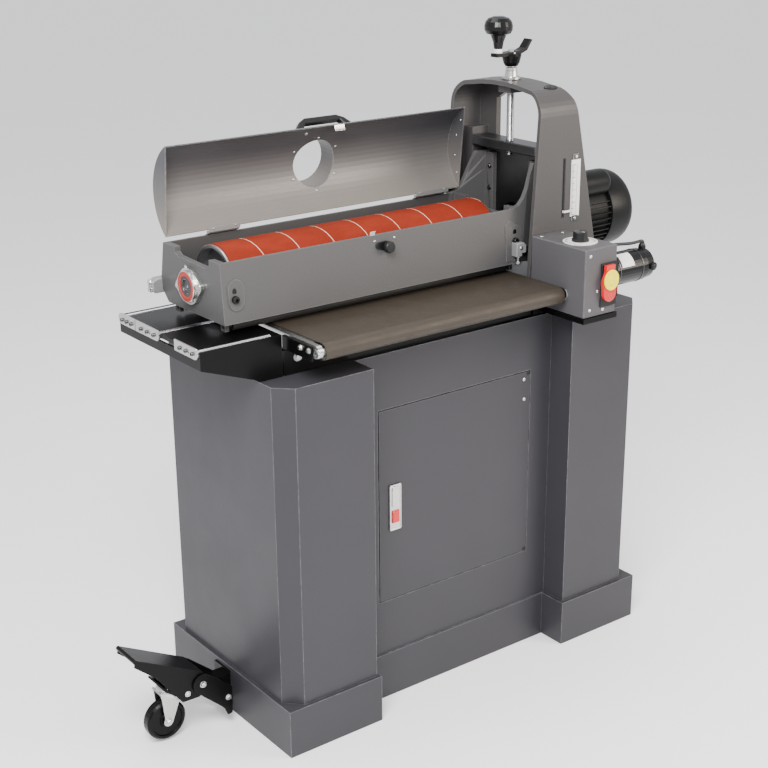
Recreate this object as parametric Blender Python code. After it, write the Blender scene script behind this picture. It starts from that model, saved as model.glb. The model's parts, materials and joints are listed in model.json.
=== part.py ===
"""Drum sander with an open head on a sheet-metal cabinet stand.

Frame: metres, +Z up. The design is drawn about the middle of the stand: X runs along the
drum towards the motor, Y from the infeed side to the rear, Z = 0 is the floor. Everything
hangs on one empty that moves this design frame so that the bounding box is centred.
"""
import math

import bmesh
import bpy
from mathutils import Matrix, Vector

# ---------------------------------------------------------------- driving dimensions
DESIGN_SHIFT = (0.06425, 0.02925)     # design frame to the centre of the bounding box
GAP = 0.0003                         # assembly gap between touching pieces
SHEET = 0.0025                       # sheet-metal thickness of the stand

STAND_HALF = 0.470                   # half of the overall plinth width
STAND_DEPTH = 0.226                  # half depth of the plinths
PLINTH_WIDTH = 0.2215
PLINTH_HEIGHT = 0.101
COLUMN_INSET = 0.0071
COLUMN_CHAMFER = 0.0320
COLUMN_TOP = 0.753

PANEL_FRONT = -0.1575                # front face of the recessed centre panel
SKIRT_FRONT = -0.1615
DOOR_LEFT, DOOR_RIGHT = -0.2000, 0.1965
DOOR_BOTTOM, DOOR_TOP = 0.2225, 0.6355
DOOR_DEPTH = 0.015
DOOR_GAP = 0.002
DOOR_AXIS = (0.1975, -0.1580)
LATCH_X, LATCH_Z = (-0.176, -0.148), (0.376, 0.474)
BUTTON_X, BUTTON_Z = (-0.1705, -0.1535), (0.392, 0.418)

BASE_TOP = 0.800
BASE_HALF = 0.150                    # half depth of the black base frame
TABLE_LEFT, TABLE_RIGHT = -0.583, -0.412
TABLE_TOP = 0.8335
OUTBOARD_R = 0.0060
OUTBOARD_Y = {"rear": 0.138, "middle": 0.002, "front": -0.137}

ROLLER_Y = 0.242                     # conveyor roller axes at plus and minus this
ROLLER_Z = 0.820
ROLLER_R = 0.0145
BELT_THICKNESS = 0.0020
BELT_X = (-0.388, 0.192)
LEFT_RAIL_X = (-0.402, -0.392)
RIGHT_RAIL_X = (0.1945, 0.2000)
SHAFT_R = 0.006

BOX_X, BOX_Y, BOX_Z = (0.206, 0.294), (-0.298, -0.1425), (0.780, 0.920)
DIAL_CENTRE = (0.2500, -0.2370)
DIAL_R, KNOB_R = 0.0350, 0.0168
SWITCH_X, SWITCH_Z = (0.2490, 0.2925), (0.7970, 0.8870)
KEY_CENTRE = (0.2650, 0.8540)
GEAR_MOTOR_R, GEAR_MOTOR_END = 0.034, 0.440
GEAR_MOTOR_Z = 0.848                 # the gear case sets the motor above the roller shaft

ARCH_HALF = 0.141                    # outer half span of the arch in Y
ARCH_TOP = 1.216
ARCH_SKIN = 0.009
WEB_X = (0.299, 0.311)
SCREW_X = 0.268
SCREW_R = 0.008
SLOT_X, SLOT_Z, SLOT_WIDTH = 0.292, (0.9455, 1.0680), 0.0045
SCALE_X, SCALE_Z = (0.3115, 0.3360), (0.9360, 1.0740)

DRUM_Z = 0.910
DRUM_R, WRAP_R = 0.0680, 0.0700
DRUM_X = (-0.459, 0.175)
DRUM_SHAFT_R = 0.0125
HEAD_LEFT, HEAD_RIGHT = -0.5076, 0.206
HEAD_TOP, HEAD_BOTTOM = 0.972, 0.8590
HEAD_WALL = 0.005
FRONT_SLOPE = (0.1125 - 0.1030) / (HEAD_TOP - HEAD_BOTTOM)
PLATE_X = (0.282, 0.294)             # carriage plate
NUT_Z = (1.070, 1.090)
PRESSURE_Y = {"front": -0.084, "rear": 0.080}
PRESSURE_Z, PRESSURE_R = 0.8475, 0.0090

COVER_X = (-0.5076, 0.2050)
COVER_CHORD, COVER_SAGITTA = 0.174, 0.047
COVER_SHEET = 0.002
COVER_HINGE = (0.0940, 0.9780)       # hinge axis in Y and Z
COVER_FOOT = (0.0889, 0.9835)        # hinge-side edge of the open cover
COVER_LEAN = math.radians(5.7)       # the open cover leans forward of vertical
PORT_X, PORT_R, PORT_LENGTH = -0.146, 0.050, 0.041

CRANK_RADIUS = 0.037
LIFT_Y, LIFT_HALF = -0.014, 0.036    # centre and half width of the lift pedal
LIFT_PIVOT = (-0.5613, 0.1172)
CASTER_TILT = math.radians(35)       # the raised pedal holds the caster plate at this slope
CASTER_FOOT = (-0.6162, 0.1084)      # swivel axis where it meets the caster plate, X and Z
CASTER_TRAIL, CASTER_DROP = 0.025, 0.058
CASTER_R = 0.0425
FIXED_R = 0.0300
FIXED_Y = {"front": -0.150, "rear": 0.150}

ROUND, FINE = 20, 32                 # facets on small and on large round pieces


# ---------------------------------------------------------------- building tools
def clear_scene():
    for obj in list(bpy.data.objects):
        bpy.data.objects.remove(obj, do_unlink=True)


def material(name, colour, roughness, metallic=0.0):
    mat = bpy.data.materials.new(name)
    mat.use_nodes = True
    shader = mat.node_tree.nodes["Principled BSDF"]
    shader.inputs["Base Color"].default_value = (*colour, 1.0)
    shader.inputs["Roughness"].default_value = roughness
    shader.inputs["Metallic"].default_value = metallic
    return mat


def new_object(name, bm):
    """Turn a bmesh into a linked object with outward faces."""
    bmesh.ops.recalc_face_normals(bm, faces=bm.faces)
    mesh = bpy.data.meshes.new(name)
    bm.to_mesh(mesh)
    bm.free()
    obj = bpy.data.objects.new(name, mesh)
    bpy.context.scene.collection.objects.link(obj)
    return obj


def block(name, x, y, z):
    """An axis-aligned box between pairs of limits."""
    bm = bmesh.new()
    bmesh.ops.create_cube(bm, size=1.0)
    size = Matrix.Diagonal((x[1] - x[0], y[1] - y[0], z[1] - z[0], 1.0))
    middle = Matrix.Translation(((x[0] + x[1]) / 2, (y[0] + y[1]) / 2, (z[0] + z[1]) / 2))
    bmesh.ops.transform(bm, matrix=middle @ size, verts=bm.verts)
    return new_object(name, bm)


def to_space(axis, u, v, along):
    """A point from two outline coordinates and the distance along an axis."""
    if axis == "X":
        return (along, u, v)
    if axis == "Y":
        return (u, along, v)
    return (u, v, along)


def prism(name, axis, outline, span):
    """Extrude a closed outline along an axis between two distances."""
    bm = bmesh.new()
    start = [bm.verts.new(to_space(axis, u, v, span[0])) for u, v in outline]
    face = bm.faces.new(start)
    moved = bmesh.ops.extrude_face_region(bm, geom=[face])["geom"]
    step = Vector(to_space(axis, 0.0, 0.0, span[1] - span[0]))
    bmesh.ops.translate(bm, vec=step, verts=[g for g in moved if isinstance(g, bmesh.types.BMVert)])
    return new_object(name, bm)


def turned(name, axis, centre, profile, facets=ROUND):
    """Turn a closed profile of (radius, distance) points about an axis through centre."""
    bm = bmesh.new()
    rings = []
    for radius, along in profile:
        ring = []
        for step in range(facets if radius > 0 else 1):
            angle = 2 * math.pi * step / facets
            u = centre[0] + radius * math.cos(angle)
            v = centre[1] + radius * math.sin(angle)
            ring.append(bm.verts.new(to_space(axis, u, v, along)))
        rings.append(ring)
    closed = profile[0][0] > 0
    pairs = list(zip(rings, rings[1:])) + ([(rings[-1], rings[0])] if closed else [])
    for one, two in pairs:
        for step in range(facets):
            nxt = (step + 1) % facets
            corners = [one[step % len(one)], one[nxt % len(one)]]
            corners += [two[nxt % len(two)], two[step % len(two)]]
            corners = list(dict.fromkeys(corners))
            if len(corners) > 2:
                bm.faces.new(corners)
    return new_object(name, bm)


def rod(name, axis, centre, radius, span, facets=ROUND):
    """A plain round bar."""
    profile = [(0.0, span[0]), (radius, span[0]), (radius, span[1]), (0.0, span[1])]
    return turned(name, axis, centre, profile, facets)


def ring(name, axis, centre, radii, span, facets=ROUND):
    """A tube between an inner and an outer radius."""
    inner, outer = radii
    profile = [(inner, span[0]), (outer, span[0]), (outer, span[1]), (inner, span[1])]
    return turned(name, axis, centre, profile, facets)


def sweep(name, path, radius, facets):
    """A round bar that follows a path lying close to one XZ plane."""
    bm = bmesh.new()
    rings = []
    for index, place in enumerate(path):
        before = path[max(index - 1, 0)]
        after = path[min(index + 1, len(path) - 1)]
        along = (after - before).normalized()
        across = along.cross(Vector((0.0, 1.0, 0.0))).normalized()
        other = along.cross(across)
        section = []
        for step in range(facets):
            angle = 2 * math.pi * step / facets
            offset = across * math.cos(angle) + other * math.sin(angle)
            section.append(bm.verts.new(place + offset * radius))
        rings.append(section)
    for one, two in zip(rings, rings[1:]):
        for step in range(facets):
            nxt = (step + 1) % facets
            bm.faces.new((one[step], one[nxt], two[nxt], two[step]))
    bm.faces.new(rings[0])
    bm.faces.new(rings[-1])
    return new_object(name, bm)


def combine(target, operation, *tools):
    """Apply Booleans of the tools to the target and remove the tools."""
    for tool in tools:
        modifier = target.modifiers.new("boolean", "BOOLEAN")
        modifier.operation = operation
        modifier.object = tool
        modifier.solver = "EXACT"
        evaluated = target.evaluated_get(bpy.context.evaluated_depsgraph_get())
        mesh = bpy.data.meshes.new_from_object(evaluated)
        target.modifiers.clear()
        target.data = mesh
        bpy.data.objects.remove(tool, do_unlink=True)
    return target


def cut(target, *tools):
    return combine(target, "DIFFERENCE", *tools)


def join(target, *tools):
    return combine(target, "UNION", *tools)


def soften(obj, width, segments=1):
    """Break the sharp edges with a small bevel."""
    bevel = obj.modifiers.new("bevel", "BEVEL")
    bevel.width = width
    bevel.segments = segments
    bevel.limit_method = "ANGLE"
    bevel.angle_limit = math.radians(50)
    return obj


def arc(centre, radius, start, end, steps):
    """Points on an arc; angles in degrees."""
    points = []
    for step in range(steps + 1):
        angle = math.radians(start + (end - start) * step / steps)
        points.append((centre[0] + radius * math.cos(angle), centre[1] + radius * math.sin(angle)))
    return points


def finish(obj, mat, pivot=None):
    """Give a piece its material and, when it moves, an origin on its joint axis."""
    obj.data.materials.clear()
    obj.data.materials.append(mat)
    if pivot is not None:
        obj.data.transform(Matrix.Translation(-Vector(pivot)))
        obj.location = pivot
    obj.data.shade_smooth()
    obj.data.set_sharp_from_angle(angle=math.radians(35))
    return obj


# ---------------------------------------------------------------- materials
def make_materials():
    return {
        "stand_paint": material("stand_paint", (0.15, 0.155, 0.175), 0.45),
        "black_paint": material("black_paint", (0.012, 0.012, 0.013), 0.40),
        "cast_aluminium": material("cast_aluminium", (0.42, 0.42, 0.44), 0.45, 0.7),
        "zinc": material("zinc", (0.62, 0.62, 0.60), 0.30, 1.0),
        "steel": material("steel", (0.55, 0.56, 0.58), 0.25, 1.0),
        "drum_metal": material("drum_metal", (0.50, 0.50, 0.52), 0.35, 0.9),
        "belt": material("belt", (0.035, 0.030, 0.026), 0.85),
        "abrasive": material("abrasive", (0.42, 0.075, 0.030), 0.90),
        "black_plastic": material("black_plastic", (0.012, 0.012, 0.013), 0.25),
        "motor_grey": material("motor_grey", (0.045, 0.050, 0.052), 0.45),
        "white_plastic": material("white_plastic", (0.80, 0.79, 0.75), 0.40),
        "red_plastic": material("red_plastic", (0.70, 0.02, 0.02), 0.35),
        "yellow_plastic": material("yellow_plastic", (0.85, 0.65, 0.06), 0.35),
        "rubber": material("rubber", (0.015, 0.015, 0.015), 0.70),
    }


# ---------------------------------------------------------------- stand
def column_outline(side, offset=0.0):
    """Column plan with its two outer corners chamfered; side is -1 left, +1 right."""
    outer = side * (STAND_HALF - COLUMN_INSET - offset)
    inner = side * (STAND_HALF - PLINTH_WIDTH + COLUMN_INSET + offset)
    depth = STAND_DEPTH - COLUMN_INSET - offset
    chamfer = COLUMN_CHAMFER - offset * (2 - math.sqrt(2))
    return [(inner, -depth), (outer - side * chamfer, -depth), (outer, -depth + chamfer),
            (outer, depth - chamfer), (outer - side * chamfer, depth), (inner, depth)]


def column(name, side, mat):
    """Folded column on its plinth: closed on top, open below."""
    shell = prism(name, "Z", column_outline(side), (PLINTH_HEIGHT + GAP, COLUMN_TOP))
    inside = prism("inside", "Z", column_outline(side, SHEET), (0.0, COLUMN_TOP - SHEET))
    return finish(cut(shell, inside), mat)


def plinth(name, side, mat):
    """Tray foot under a column, open to the floor."""
    x = sorted((side * STAND_HALF, side * (STAND_HALF - PLINTH_WIDTH)))
    y = (-STAND_DEPTH, STAND_DEPTH)
    tray = block(name, x, y, (0.0, PLINTH_HEIGHT))
    inner_x = (x[0] + SHEET, x[1] - SHEET)
    inner_y = (y[0] + SHEET, y[1] - SHEET)
    hollow = block("hollow", inner_x, inner_y, (-0.01, PLINTH_HEIGHT - SHEET))
    return finish(cut(tray, hollow), mat)


def centre_limits():
    """X limits of a sheet that fits between the two columns."""
    half = STAND_HALF - PLINTH_WIDTH + COLUMN_INSET - GAP
    return (-half, half)


def between_plinths():
    """X limits of a sheet that fits between the two plinths."""
    half = STAND_HALF - PLINTH_WIDTH - GAP
    return (-half, half)


def front_panel(mat):
    """Recessed front with the door opening, door stops and the centre skirt."""
    x = centre_limits()
    top = COLUMN_TOP - GAP
    panel = block("front_panel", x, (PANEL_FRONT, PANEL_FRONT + SHEET), (PLINTH_HEIGHT + GAP, top))
    lip = block("lip", x, (PANEL_FRONT, PANEL_FRONT + 0.025), (top - SHEET, top))
    foot_x = between_plinths()
    foot = block("foot", foot_x, (PANEL_FRONT, PANEL_FRONT + SHEET), (0.0, 0.12))
    skirt = block("skirt", foot_x, (SKIRT_FRONT, PANEL_FRONT + 0.001), (0.0, PLINTH_HEIGHT))
    stop_y = (PANEL_FRONT + 0.001, PANEL_FRONT + DOOR_DEPTH + 0.005)
    rim = 0.020
    stop = block("stop", (DOOR_LEFT - rim, DOOR_RIGHT + rim), stop_y,
                 (DOOR_BOTTOM - rim, DOOR_TOP + rim))
    join(panel, lip, foot, skirt, stop)
    gap = DOOR_GAP
    opening = block("opening", (DOOR_LEFT - gap, DOOR_RIGHT + gap), (-0.2, -0.1),
                    (DOOR_BOTTOM - gap, DOOR_TOP + gap))
    return finish(cut(panel, opening), mat)


def rear_panel(mat):
    """Plain back sheet, narrower between the plinths."""
    y = (-PANEL_FRONT - SHEET, -PANEL_FRONT)
    sheet = block("rear_panel", centre_limits(), y, (PLINTH_HEIGHT + GAP, COLUMN_TOP - GAP))
    foot = block("foot", between_plinths(), y, (0.0, 0.12))
    return finish(join(sheet, foot), mat)


def cabinet_floor(mat):
    """Floor tray of the cabinet between the two columns."""
    depth = -PANEL_FRONT - SHEET - GAP
    x = centre_limits()
    z = (PLINTH_HEIGHT + GAP, PLINTH_HEIGHT + 0.020)
    tray = block("cabinet_floor", x, (-depth, depth), z)
    hollow = block("hollow", (x[0] + SHEET, x[1] - SHEET), (-depth + SHEET, depth - SHEET),
                   (z[0] - 0.01, z[1] - SHEET))
    return finish(cut(tray, hollow), mat)


def cabinet_door(mat):
    """Flush door tray with a window for the latch."""
    y = (DOOR_AXIS[1], DOOR_AXIS[1] + DOOR_DEPTH)
    door = block("cabinet_door", (DOOR_LEFT, DOOR_RIGHT), y, (DOOR_BOTTOM, DOOR_TOP))
    wall = 0.0025
    hollow = block("hollow", (DOOR_LEFT + wall, DOOR_RIGHT - wall), (y[0] + wall, y[1] + 0.01),
                   (DOOR_BOTTOM + wall, DOOR_TOP - wall))
    inset = 0.003
    window = block("window", (LATCH_X[0] + inset, LATCH_X[1] - inset), (y[0] - 0.01, y[1]),
                   (LATCH_Z[0] + inset, LATCH_Z[1] - inset))
    return finish(cut(door, hollow, window), mat, (*DOOR_AXIS, DOOR_BOTTOM))


def door_latch(mat):
    """Flush paddle latch: face plate in front of the door, case behind it."""
    face = DOOR_AXIS[1] - GAP
    plate = soften(block("door_latch", LATCH_X, (face - 0.002, face), LATCH_Z), 0.0008)
    inset = 0.004
    case = block("case", (LATCH_X[0] + inset, LATCH_X[1] - inset), (face - 0.001, face + 0.014),
                 (LATCH_Z[0] + inset, LATCH_Z[1] - inset))
    join(plate, case)
    plate.modifiers.clear()
    play = 0.0006
    pocket = block("pocket", (BUTTON_X[0] - play, BUTTON_X[1] + play), (face - 0.01, face + 0.009),
                   (BUTTON_Z[0] - play, BUTTON_Z[1] + play))
    return finish(cut(plate, pocket), mat, (*DOOR_AXIS, DOOR_BOTTOM))


def latch_button(mat):
    face = DOOR_AXIS[1] - GAP
    button = block("latch_button", BUTTON_X, (face - 0.0055, face + 0.0050), BUTTON_Z)
    pivot = (sum(BUTTON_X) / 2, face, sum(BUTTON_Z) / 2)
    return finish(soften(button, 0.0012), mat, pivot)


# ---------------------------------------------------------------- lift caster and fixed wheels
def lift_bracket(mat):
    """Bracket on the left plinth: mount, cross plate and two cheeks with the lever pivot."""
    wall = 0.004
    inner = LIFT_HALF + 0.0005
    cheek = arc(LIFT_PIVOT, 0.021, 48, 235, 9)
    cheek += [(-0.5148, 0.0455), (-0.5074, 0.0271), (-0.4969, 0.0282), (-0.4949, 0.0878)]
    y = (LIFT_Y - inner - wall, LIFT_Y + inner + wall)
    bracket = block("lift_bracket", (-0.5040, -0.5000), (y[0] + 0.001, y[1] - 0.001), (0.030, 0.086))
    join(bracket, prism("cheek", "Y", cheek, (y[0], y[0] + wall)))
    join(bracket, prism("cheek", "Y", cheek, (y[1] - wall, y[1])))
    face = -STAND_HALF - GAP
    join(bracket, block("mount", (-0.5010, face), (-0.006, 0.026), (0.030, 0.086)))
    join(bracket, block("foot", (face - wall, face), (-0.006, 0.050), (0.012, 0.092)))
    pin = rod("pin", "Y", LIFT_PIVOT, 0.005, (y[0] - 0.004, y[1] + 0.004), 16)
    return finish(join(bracket, pin), mat)


def caster_place():
    """Maps caster coordinates (trail, width, height above the plate) to space."""
    tilt = Matrix.Rotation(CASTER_TILT, 4, "Y")
    return Matrix.Translation((CASTER_FOOT[0], LIFT_Y, CASTER_FOOT[1])) @ tilt


def lift_pedal(mat):
    """Foot lever: top plate with a round edge, side flanges and the tilted caster plate."""
    wall = 0.003
    y = (LIFT_Y - LIFT_HALF, LIFT_Y + LIFT_HALF)
    top = [(-0.5588, 0.1425), (-0.7000, 0.2172), (-0.7014, 0.2145), (-0.5602, 0.1398)]
    pedal = prism("lift_pedal", "Y", top, y)
    join(pedal, rod("edge", "Y", (-0.7005, 0.2130), 0.0045, y, 12))
    side = [(-0.7000, 0.2160), (-0.7034, 0.2021), (-0.6604, 0.1649), (-0.6052, 0.0901),
            (-0.5680, 0.0890), (-0.5460, 0.1030), (-0.5440, 0.1250), (-0.5590, 0.1415)]
    join(pedal, prism("side", "Y", side, (y[0], y[0] + wall)))
    join(pedal, prism("side", "Y", side, (y[1] - wall, y[1])))
    plate = block("plate", (-0.031, 0.026), (y[0] - LIFT_Y, y[1] - LIFT_Y), (0.0, 0.004))
    plate.data.transform(caster_place())
    join(pedal, plate)
    bore = rod("bore", "Y", LIFT_PIVOT, 0.0054, (y[0] - 0.01, y[1] + 0.01), 16)
    return finish(cut(pedal, bore), mat, (LIFT_PIVOT[0], LIFT_Y, LIFT_PIVOT[1]))


def caster_fork(mat):
    """Pressed swivel fork with its raceway under the caster plate."""
    fork = rod("caster_fork", "Z", (0.0, 0.0), 0.0230, (-0.0110, -0.0005), 24)
    bridge = block("bridge", (-0.024, 0.024), (-0.0175, 0.0175), (-0.0145, -0.0105))
    join(fork, bridge)
    axle = (CASTER_TRAIL, -CASTER_DROP)
    leg = [(-0.024, -0.0110), (0.024, -0.0110)] + arc(axle, 0.010, 10, -190, 8)
    for side in (-1, 1):
        span = sorted((side * 0.0148, side * 0.0175))
        join(fork, prism("leg", "Y", leg, span))
    join(fork, rod("axle", "Y", axle, 0.0040, (-0.0205, 0.0205), 12))
    fork.data.transform(caster_place())
    return finish(fork, mat, caster_place() @ Vector((0.0, 0.0, 0.0)))


def wheel_profile(radius, half, bore):
    """Rounded tread with a raised hub, as (radius, distance) points."""
    crown = 0.004
    return [(bore, -half), (radius * 0.32, -half), (radius * 0.36, -half * 0.75),
            (radius * 0.76, -half * 0.75), (radius * 0.80, -half), (radius - crown, -half),
            (radius, -half + crown), (radius, half - crown), (radius - crown, half),
            (radius * 0.80, half), (radius * 0.76, half * 0.75), (radius * 0.36, half * 0.75),
            (radius * 0.32, half), (bore, half)]


def caster_wheel(mat):
    axle = (CASTER_TRAIL, -CASTER_DROP)
    wheel = turned("caster_wheel", "Y", axle, wheel_profile(CASTER_R, 0.0120, 0.0044), FINE)
    wheel.data.transform(caster_place())
    return finish(wheel, mat, caster_place() @ Vector((axle[0], 0.0, axle[1])))


def wheel_bracket(mat):
    """Cross rail on the right plinth with two stub axles for the fixed wheels."""
    x0 = STAND_HALF + GAP
    rail = block("wheel_bracket", (x0, x0 + 0.004), (-0.175, 0.175), (0.020, 0.085))
    for y in FIXED_Y.values():
        axle = rod("axle", "X", (y, FIXED_R + 0.0015), 0.0060, (x0 + 0.002, x0 + 0.034), 16)
        join(rail, axle)
    return finish(rail, mat)


def fixed_wheel(end, mat):
    """Fixed wheel just clear of the floor; it takes the load when the left side is lifted."""
    centre = (FIXED_Y[end], FIXED_R + 0.0015)
    middle = STAND_HALF + 0.0190
    profile = [(r, middle + t) for r, t in wheel_profile(FIXED_R, 0.0110, 0.0065)]
    wheel = turned("fixed_wheel_" + end, "X", centre, profile, FINE)
    return finish(wheel, mat, (middle, *centre))


# ---------------------------------------------------------------- base and outboard table
def base_frame(mat):
    """Black base tray that ties the two columns and carries conveyor and arch."""
    x, z = (-0.408, 0.424), (COLUMN_TOP + GAP, BASE_TOP)
    frame = block("base_frame", x, (-BASE_HALF, BASE_HALF), z)
    wall = 0.005
    under = block("under", (x[0] + wall, x[1] - wall), (-BASE_HALF + wall, BASE_HALF - wall),
                  (0.70, z[1] - wall))
    return finish(cut(frame, under), mat)


def outboard_table(mat):
    """Overhanging table at the left end with tapered sides and three roller slots."""
    wall = 0.005
    under = TABLE_TOP - 0.007
    side = [(TABLE_LEFT, TABLE_TOP), (TABLE_LEFT, 0.7995), (-0.455, COLUMN_TOP + GAP),
            (TABLE_RIGHT, COLUMN_TOP + GAP), (TABLE_RIGHT, TABLE_TOP)]
    top = prism("outboard_table", "Y", side, (-BASE_HALF, BASE_HALF))
    inside = (-BASE_HALF + wall, BASE_HALF - wall)
    cut(top, block("inside", (TABLE_LEFT + wall, TABLE_RIGHT + 0.01), inside, (0.70, under)))
    cut(top, block("end_gap", (TABLE_LEFT - 0.01, TABLE_LEFT + wall + 0.01), inside, (0.8200, under)))
    slot_half = OUTBOARD_R + 0.0022
    for name, y in OUTBOARD_Y.items():
        slot = block("slot", (TABLE_LEFT - 0.01, -0.428), (y - slot_half, y + slot_half),
                     (0.8215, 0.9))
        cut(top, slot)
    return finish(top, mat)


def roller_bracket(name, y_round, y_flat, mat):
    """Silver end plate: one rounded end round the roller stub, one square end."""
    radius = 0.0105
    z = TABLE_TOP - OUTBOARD_R + 0.0015
    side = 1 if y_round > y_flat else -1
    outline = [(y_flat, z + radius), (y_flat, z - radius)]
    outline += arc((y_round, z), radius, -90, -90 + side * 180, 10)
    x = (TABLE_LEFT - 0.0032, TABLE_LEFT - GAP)
    plate = prism("roller_bracket_" + name, "X", outline, x)
    bore = rod("bore", "X", (y_round, z), 0.0034, (x[0] - 0.01, x[1] + 0.01), 16)
    cut(plate, bore)
    for share in (0.35, 0.70):
        y = y_flat + (y_round - y_flat) * share
        cut(plate, rod("hole", "X", (y, z - 0.002), 0.0022, (x[0] - 0.01, x[1] + 0.01), 12))
    return finish(plate, mat)


def outboard_roller(name, mat):
    """Idle roller with a stub that turns in its end plate."""
    y = OUTBOARD_Y[name]
    z = TABLE_TOP - OUTBOARD_R + 0.0015
    end = TABLE_LEFT + 0.0006
    profile = [(0.0, TABLE_LEFT - 0.0030), (0.0030, TABLE_LEFT - 0.0030), (0.0030, end),
               (OUTBOARD_R, end), (OUTBOARD_R, -0.430), (0.0, -0.430)]
    roller = turned("outboard_roller_" + name, "X", (y, z), profile, 20)
    return finish(roller, mat, (-0.5, y, z))


# ---------------------------------------------------------------- conveyor
def conveyor_belt(mat):
    """Endless abrasive belt: a flat loop round both rollers."""
    outer = ROLLER_R + BELT_THICKNESS
    inner = ROLLER_R + 0.0004

    def loop(radius):
        front = arc((-ROLLER_Y, ROLLER_Z), radius, 270, 90, 14)
        rear = arc((ROLLER_Y, ROLLER_Z), radius, 90, -90, 14)
        return front + rear

    belt = prism("conveyor_belt", "X", loop(outer), BELT_X)
    hollow = prism("hollow", "X", loop(inner), (BELT_X[0] - 0.01, BELT_X[1] + 0.01))
    return finish(cut(belt, hollow), mat)


def conveyor_bed(mat):
    """Flat steel bed that backs the upper run of the belt."""
    top = ROLLER_Z + ROLLER_R
    bed = block("conveyor_bed", (-0.391, 0.1935), (-0.222, 0.222), (top - 0.006, top))
    return finish(bed, mat)


def conveyor_roller(name, y, right_end, mat):
    """Roller with a shaft at each end."""
    x0, x1 = BELT_X[0] + 0.001, BELT_X[1] - 0.001
    profile = [(0.0, -0.4015), (SHAFT_R, -0.4015), (SHAFT_R, x0), (ROLLER_R, x0), (ROLLER_R, x1),
               (SHAFT_R, x1), (SHAFT_R, right_end), (0.0, right_end)]
    return finish(turned(name, "X", (y, ROLLER_Z), profile, ROUND), mat, (0.0, y, ROLLER_Z))


def conveyor_rail(name, x, mat):
    """Side rail with round ends, a foot on the base and bores for both shafts."""
    radius = 0.0125
    front = arc((-ROLLER_Y, ROLLER_Z + 0.0015), radius, 270, 90, 10)
    rear = arc((ROLLER_Y, ROLLER_Z + 0.0015), radius, 90, -90, 10)
    foot = [(0.140, ROLLER_Z + 0.0015 - radius), (0.140, BASE_TOP + GAP),
            (-0.140, BASE_TOP + GAP), (-0.140, ROLLER_Z + 0.0015 - radius)]
    rail = prism(name, "X", front + rear + foot, x)
    for y in (-ROLLER_Y, ROLLER_Y):
        cut(rail, rod("bore", "X", (y, ROLLER_Z), SHAFT_R + 0.0005, (x[0] - 0.01, x[1] + 0.01), 20))
    return finish(rail, mat)


def gear_motor(mat):
    """Gear case on the drive shaft, motor body above it, end bell and two brush caps."""
    x0 = BOX_X[1] + GAP
    radius, end, z = GEAR_MOTOR_R, GEAR_MOTOR_END, GEAR_MOTOR_Z
    half = radius + 0.002
    case_z = (ROLLER_Z - 0.0165, z + half)
    case = block("gear_motor", (x0, x0 + 0.026), (-ROLLER_Y - half, -ROLLER_Y + half), case_z)
    cut(case, rod("bore", "X", (-ROLLER_Y, ROLLER_Z), SHAFT_R + 0.0004, (x0 - 0.01, x0 + 0.021), 20))
    profile = [(0.0, x0 + 0.023), (radius, x0 + 0.023), (radius, end - 0.028),
               (radius - 0.002, end - 0.027), (radius - 0.003, end - 0.008),
               (radius - 0.012, end), (0.0, end)]
    join(case, turned("body", "X", (-ROLLER_Y, z), profile, FINE))
    for side in (-1, 1):
        span = sorted((-ROLLER_Y + side * (radius - 0.008), -ROLLER_Y + side * (radius + 0.002)))
        join(case, rod("brush_cap", "Y", (end - 0.014, z), 0.0085, span, 16))
    outlet = rod("outlet", "Z", (end - 0.015, -ROLLER_Y), 0.0080,
                 (z + radius - 0.008, z + radius + 0.003), 16)
    return finish(join(case, outlet), mat)


def motor_lead(mat):
    """Short lead from the control box over the gear motor to its outlet."""
    start = Vector((BOX_X[1] + 0.0012, -0.232, 0.8960))
    end = Vector((GEAR_MOTOR_END - 0.015, -ROLLER_Y, GEAR_MOTOR_Z + GEAR_MOTOR_R + 0.0052))
    knots = [start, start + Vector((0.014, 0.0, 0.0)), Vector((0.345, -0.234, 0.8975)),
             Vector((0.395, -0.239, 0.8940)), end + Vector((-0.001, 0.0, 0.008)), end]
    path = []
    for index in range(len(knots) - 1):
        before = knots[max(index - 1, 0)]
        one, two = knots[index], knots[index + 1]
        after = knots[min(index + 2, len(knots) - 1)]
        for step in range(4):
            t = step / 4
            path.append(0.5 * (2 * one + (two - before) * t
                               + (2 * before - 5 * one + 4 * two - after) * t ** 2
                               + (3 * one - before - 3 * two + after) * t ** 3))
    path.append(end)
    return finish(sweep("motor_lead", path, 0.0035, 8), mat)


# ---------------------------------------------------------------- controls
def control_box(mat):
    """Folded box, open below, with holes for the drive shaft and the speed control."""
    box = soften(block("control_box", BOX_X, BOX_Y, BOX_Z), 0.0015)
    wall = 0.002
    inside = block("inside", (BOX_X[0] + wall, BOX_X[1] - wall), (BOX_Y[0] + wall, BOX_Y[1] - wall),
                   (BOX_Z[0] - 0.01, BOX_Z[1] - wall))
    notch = block("notch", (0.15, 0.35), (-BASE_HALF - 0.0010, -0.10), (0.70, BASE_TOP + 0.0010))
    shaft = rod("shaft", "X", (-ROLLER_Y, ROLLER_Z), SHAFT_R + 0.002, (0.15, 0.35), 20)
    spindle = rod("spindle", "Z", DIAL_CENTRE, 0.0045, (0.90, 0.94), 16)
    middle = (sum(SWITCH_X) / 2, sum(SWITCH_Z) / 2)
    window = block("window", (middle[0] - 0.015, middle[0] + 0.015), (-0.31, -0.29),
                   (middle[1] - 0.035, middle[1] + 0.035))
    return finish(cut(box, inside, notch, shaft, spindle, window), mat)


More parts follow.
